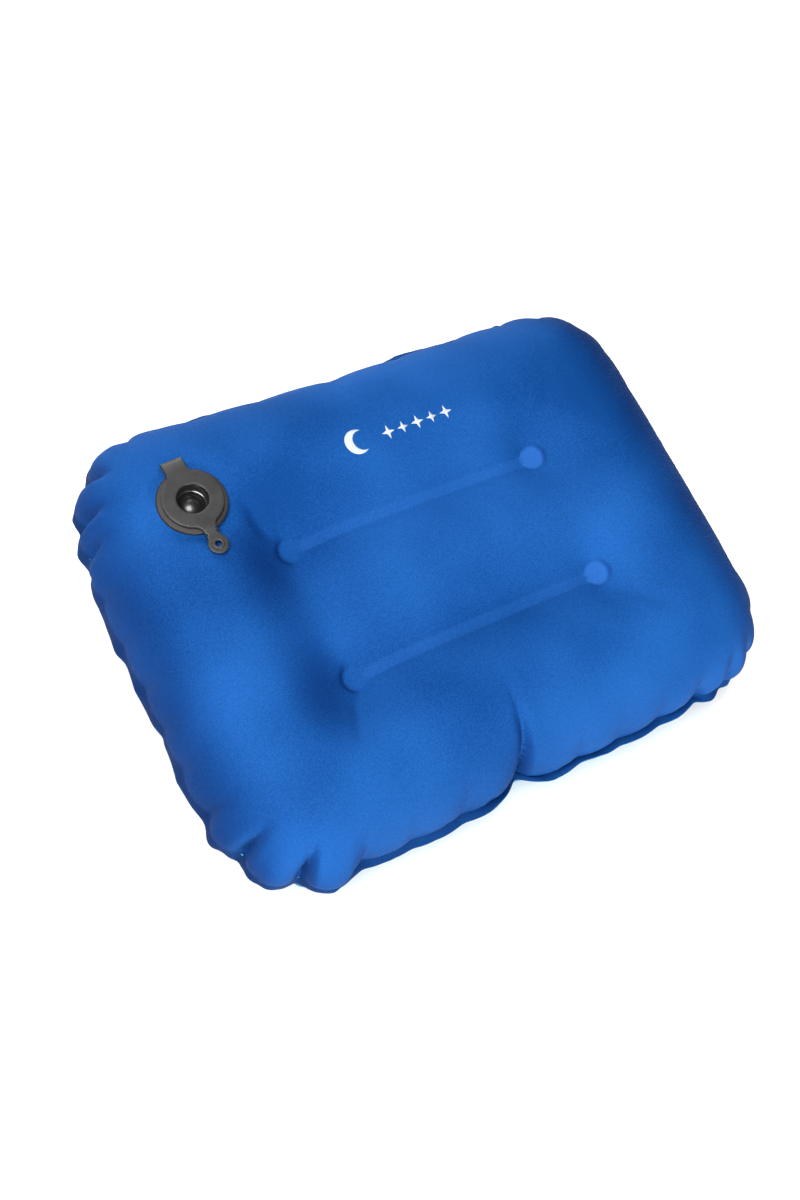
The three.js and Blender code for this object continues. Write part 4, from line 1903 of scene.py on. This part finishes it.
@dataclass(frozen=True)
class Studio:
    """Camera, floor and lights.

    Attributes:
        azimuth: the camera's direction around the pillow, in degrees.
        elevation: its angle above the floor.
        roll: how far it is turned about its own line of sight.
        distance: its distance from what it aims at.
        aim: how far to the right and up of the pillow's middle it aims.
        aim_height: height of the pillow's middle.
        lens: its focal length in millimetres.
        lamps: the lamps.
        lamp_distance: their distance for a direction of length one.
    """

    azimuth: float = -62.6
    elevation: float = 62.2
    roll: float = 37.75
    distance: float = 0.8205
    aim: tuple[float, float] = (-0.01879, -0.01538)
    aim_height: float = 0.05
    lens: float = 58.5
    lamps: tuple[Lamp, ...] = (
        Lamp("left_softbox", (-0.44, 0.0, 0.90), 0.8, 38.0),
        Lamp("front_softbox", (-0.05, -0.90, 0.42), 0.9, 23.5),
        Lamp("back_softbox", (0.05, 0.85, 0.52), 0.9, 14.0),
    )
    lamp_distance: float = 1.6

    def axes(self) -> tuple[Vector, Vector, Vector]:
        """Works out how the camera is turned.

        Returns:
            Its right, up and backward directions.
        """
        turn, tilt, roll = (math.radians(a) for a in (self.azimuth, self.elevation, self.roll))
        back = Vector((math.sin(turn) * math.cos(tilt), -math.cos(turn) * math.cos(tilt), math.sin(tilt)))
        level = Vector((math.cos(turn), math.sin(turn), 0))
        upright = back.cross(level)
        right = math.cos(roll) * level + math.sin(roll) * upright
        up = -math.sin(roll) * level + math.cos(roll) * upright
        return right, up, back

    def build(self) -> None:
        """Adds the camera, the floor and the lights to the scene."""
        right, up, back = self.axes()
        target = Vector((0, 0, self.aim_height)) + right * self.aim[0] + up * self.aim[1]
        data = bpy.data.cameras.new("camera")
        data.sensor_fit = "HORIZONTAL"
        data.sensor_width = 36
        data.lens = self.lens
        camera = bpy.data.objects.new("camera", data)
        turn = Matrix((right, up, back)).transposed().to_4x4()
        camera.matrix_world = Matrix.Translation(target + back * self.distance) @ turn
        bpy.context.scene.collection.objects.link(camera)
        bpy.context.scene.camera = camera

        corners = [(-4, -4, 0), (4, -4, 0), (4, 4, 0), (-4, 4, 0)]
        floor = link("floor", mesh_of("floor", corners, [(0, 1, 2, 3)]))
        floor.data.materials.append(self.floor_material())

        for lamp in self.lamps:
            self.hang(lamp)
        world = bpy.data.worlds.new("studio")
        world.use_nodes = True
        sky = world.node_tree.nodes["Background"]
        sky.inputs["Color"].default_value = (0.93, 0.96, 1.0, 1)
        sky.inputs["Strength"].default_value = 0.12
        bpy.context.scene.world = world
        bpy.context.scene.view_settings.view_transform = "Standard"

    def hang(self, lamp: Lamp) -> None:
        """Adds one lamp to the scene.

        Args:
            lamp: the lamp.
        """
        data = bpy.data.lights.new(lamp.name, "AREA")
        data.size = lamp.size
        data.energy = lamp.power
        centre = Vector((0, 0, self.aim_height))
        source = bpy.data.objects.new(lamp.name, data)
        source.location = centre + self.lamp_distance * Vector(lamp.towards)
        source.rotation_euler = (centre - source.location).to_track_quat("-Z", "Y").to_euler()
        bpy.context.scene.collection.objects.link(source)

    def floor_material(self) -> bpy.types.Material:
        """Makes the plain finish of the floor.

        Returns:
            The floor's material.
        """
        mat = bpy.data.materials.new("pale_floor")
        mat.use_nodes = True
        nodes = mat.node_tree.nodes
        nodes.clear()
        shader = nodes.new("ShaderNodeBsdfPrincipled")
        shader.label = "pale floor"
        shader.inputs["Base Color"].default_value = (0.9, 0.9, 0.9, 1)
        shader.inputs["Roughness"].default_value = 0.9
        out = nodes.new("ShaderNodeOutputMaterial")
        out.label = "surface"
        place_nodes([[shader], [out]])
        mat.node_tree.links.new(shader.outputs["BSDF"], out.inputs["Surface"])
        return mat


def main() -> None:
    """Builds the pillow piece by piece."""
    logging.basicConfig(level=logging.INFO, format="%(name)s: %(message)s")
    low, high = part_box("top_panel")
    valve_axis = ValveAxis.from_joints(frame["joints"])
    welds = (Weld(-4.5 * MM, 36.5 * MM, 173 * MM), Weld(-4.5 * MM, -48.5 * MM, 173 * MM))
    outline = Outline(high[0], high[1], 65 * MM, Skins.wall_slack())
    skins = Skins(outline, welds, valve_axis, low[2] - 0.15 * MM)
    skins.inflate()
    top = skins.skin("top_skin", Side.TOP)
    bottom = skins.skin("bottom_skin", Side.BOTTOM)
    blue = KnitFinish("royal_knit", (0.002, 0.040, 0.175, 1), (0.010, 0.085, 0.315, 1),
                      (0.024, 0.120, 0.42, 1), (0.0006, 0.012, 0.062, 1)).material()
    pale = KnitFinish("pale_knit", (0.07, 0.24, 0.36, 1), (0.14, 0.36, 0.48, 1), (0.18, 0.4, 0.5, 1),
                      (0.10, 0.29, 0.40, 1)).material()
    for piece, mat, node, slot in ((top, blue, "top_panel", "top_fabric"),
                                   (bottom, pale, "bottom_panel", "bottom_fabric")):
        piece.data.materials.append(mat)
        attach(piece, "pillow")
        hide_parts(node)
        log.info("%s: %d faces", piece.name, len(piece.data.polygons))
    moulded = MouldedFinish("lid_plastic", (0.015, 0.015, 0.016, 1), (0.024, 0.0235, 0.024, 1),
                            0.42).material()
    brown = MouldedFinish("base_plastic", (0.014, 0.010, 0.009, 1), (0.022, 0.017, 0.015, 1),
                          0.5).material()
    rubber = MouldedFinish("flap_silicone", (0.006, 0.006, 0.007, 1), (0.010, 0.010, 0.011, 1), 0.34,
                           coat=0.3).material()
    glossy = MouldedFinish("mouth_plastic", (0.012, 0.012, 0.013, 1), (0.022, 0.022, 0.023, 1), 0.2,
                           coat=0.5).material()
    Valve(valve_axis).build(moulded, brown, glossy, rubber)
    ink = MouldedFinish("print_ink", (0.42, 0.47, 0.56, 1), (0.50, 0.54, 0.62, 1), 0.6, 0.3).material()
    mark = PrintMark(top).build(ink)
    log.info("%s: %d faces, laid on the top skin", mark.name, len(mark.data.polygons))
    film = MouldedFinish("web_film", (0.45, 0.52, 0.58, 1), (0.55, 0.6, 0.66, 1), 0.35).material()
    for name, weld, node in zip(("rear_web", "front_web"), welds, ("rear_baffle", "front_baffle")):
        Web(name, weld, skins.middle, skins.weld_height - 0.3 * MM).build(film, node)
        log.info("%s: stretched between the skins", name)
    frame["nodes"]["flap_cage"].data.materials.clear()
    frame["nodes"]["flap_cage"].data.materials.append(moulded)
    log.info("flap_cage: kept from the frame")
    Studio().build()


if __name__ == "__main__":
    main()
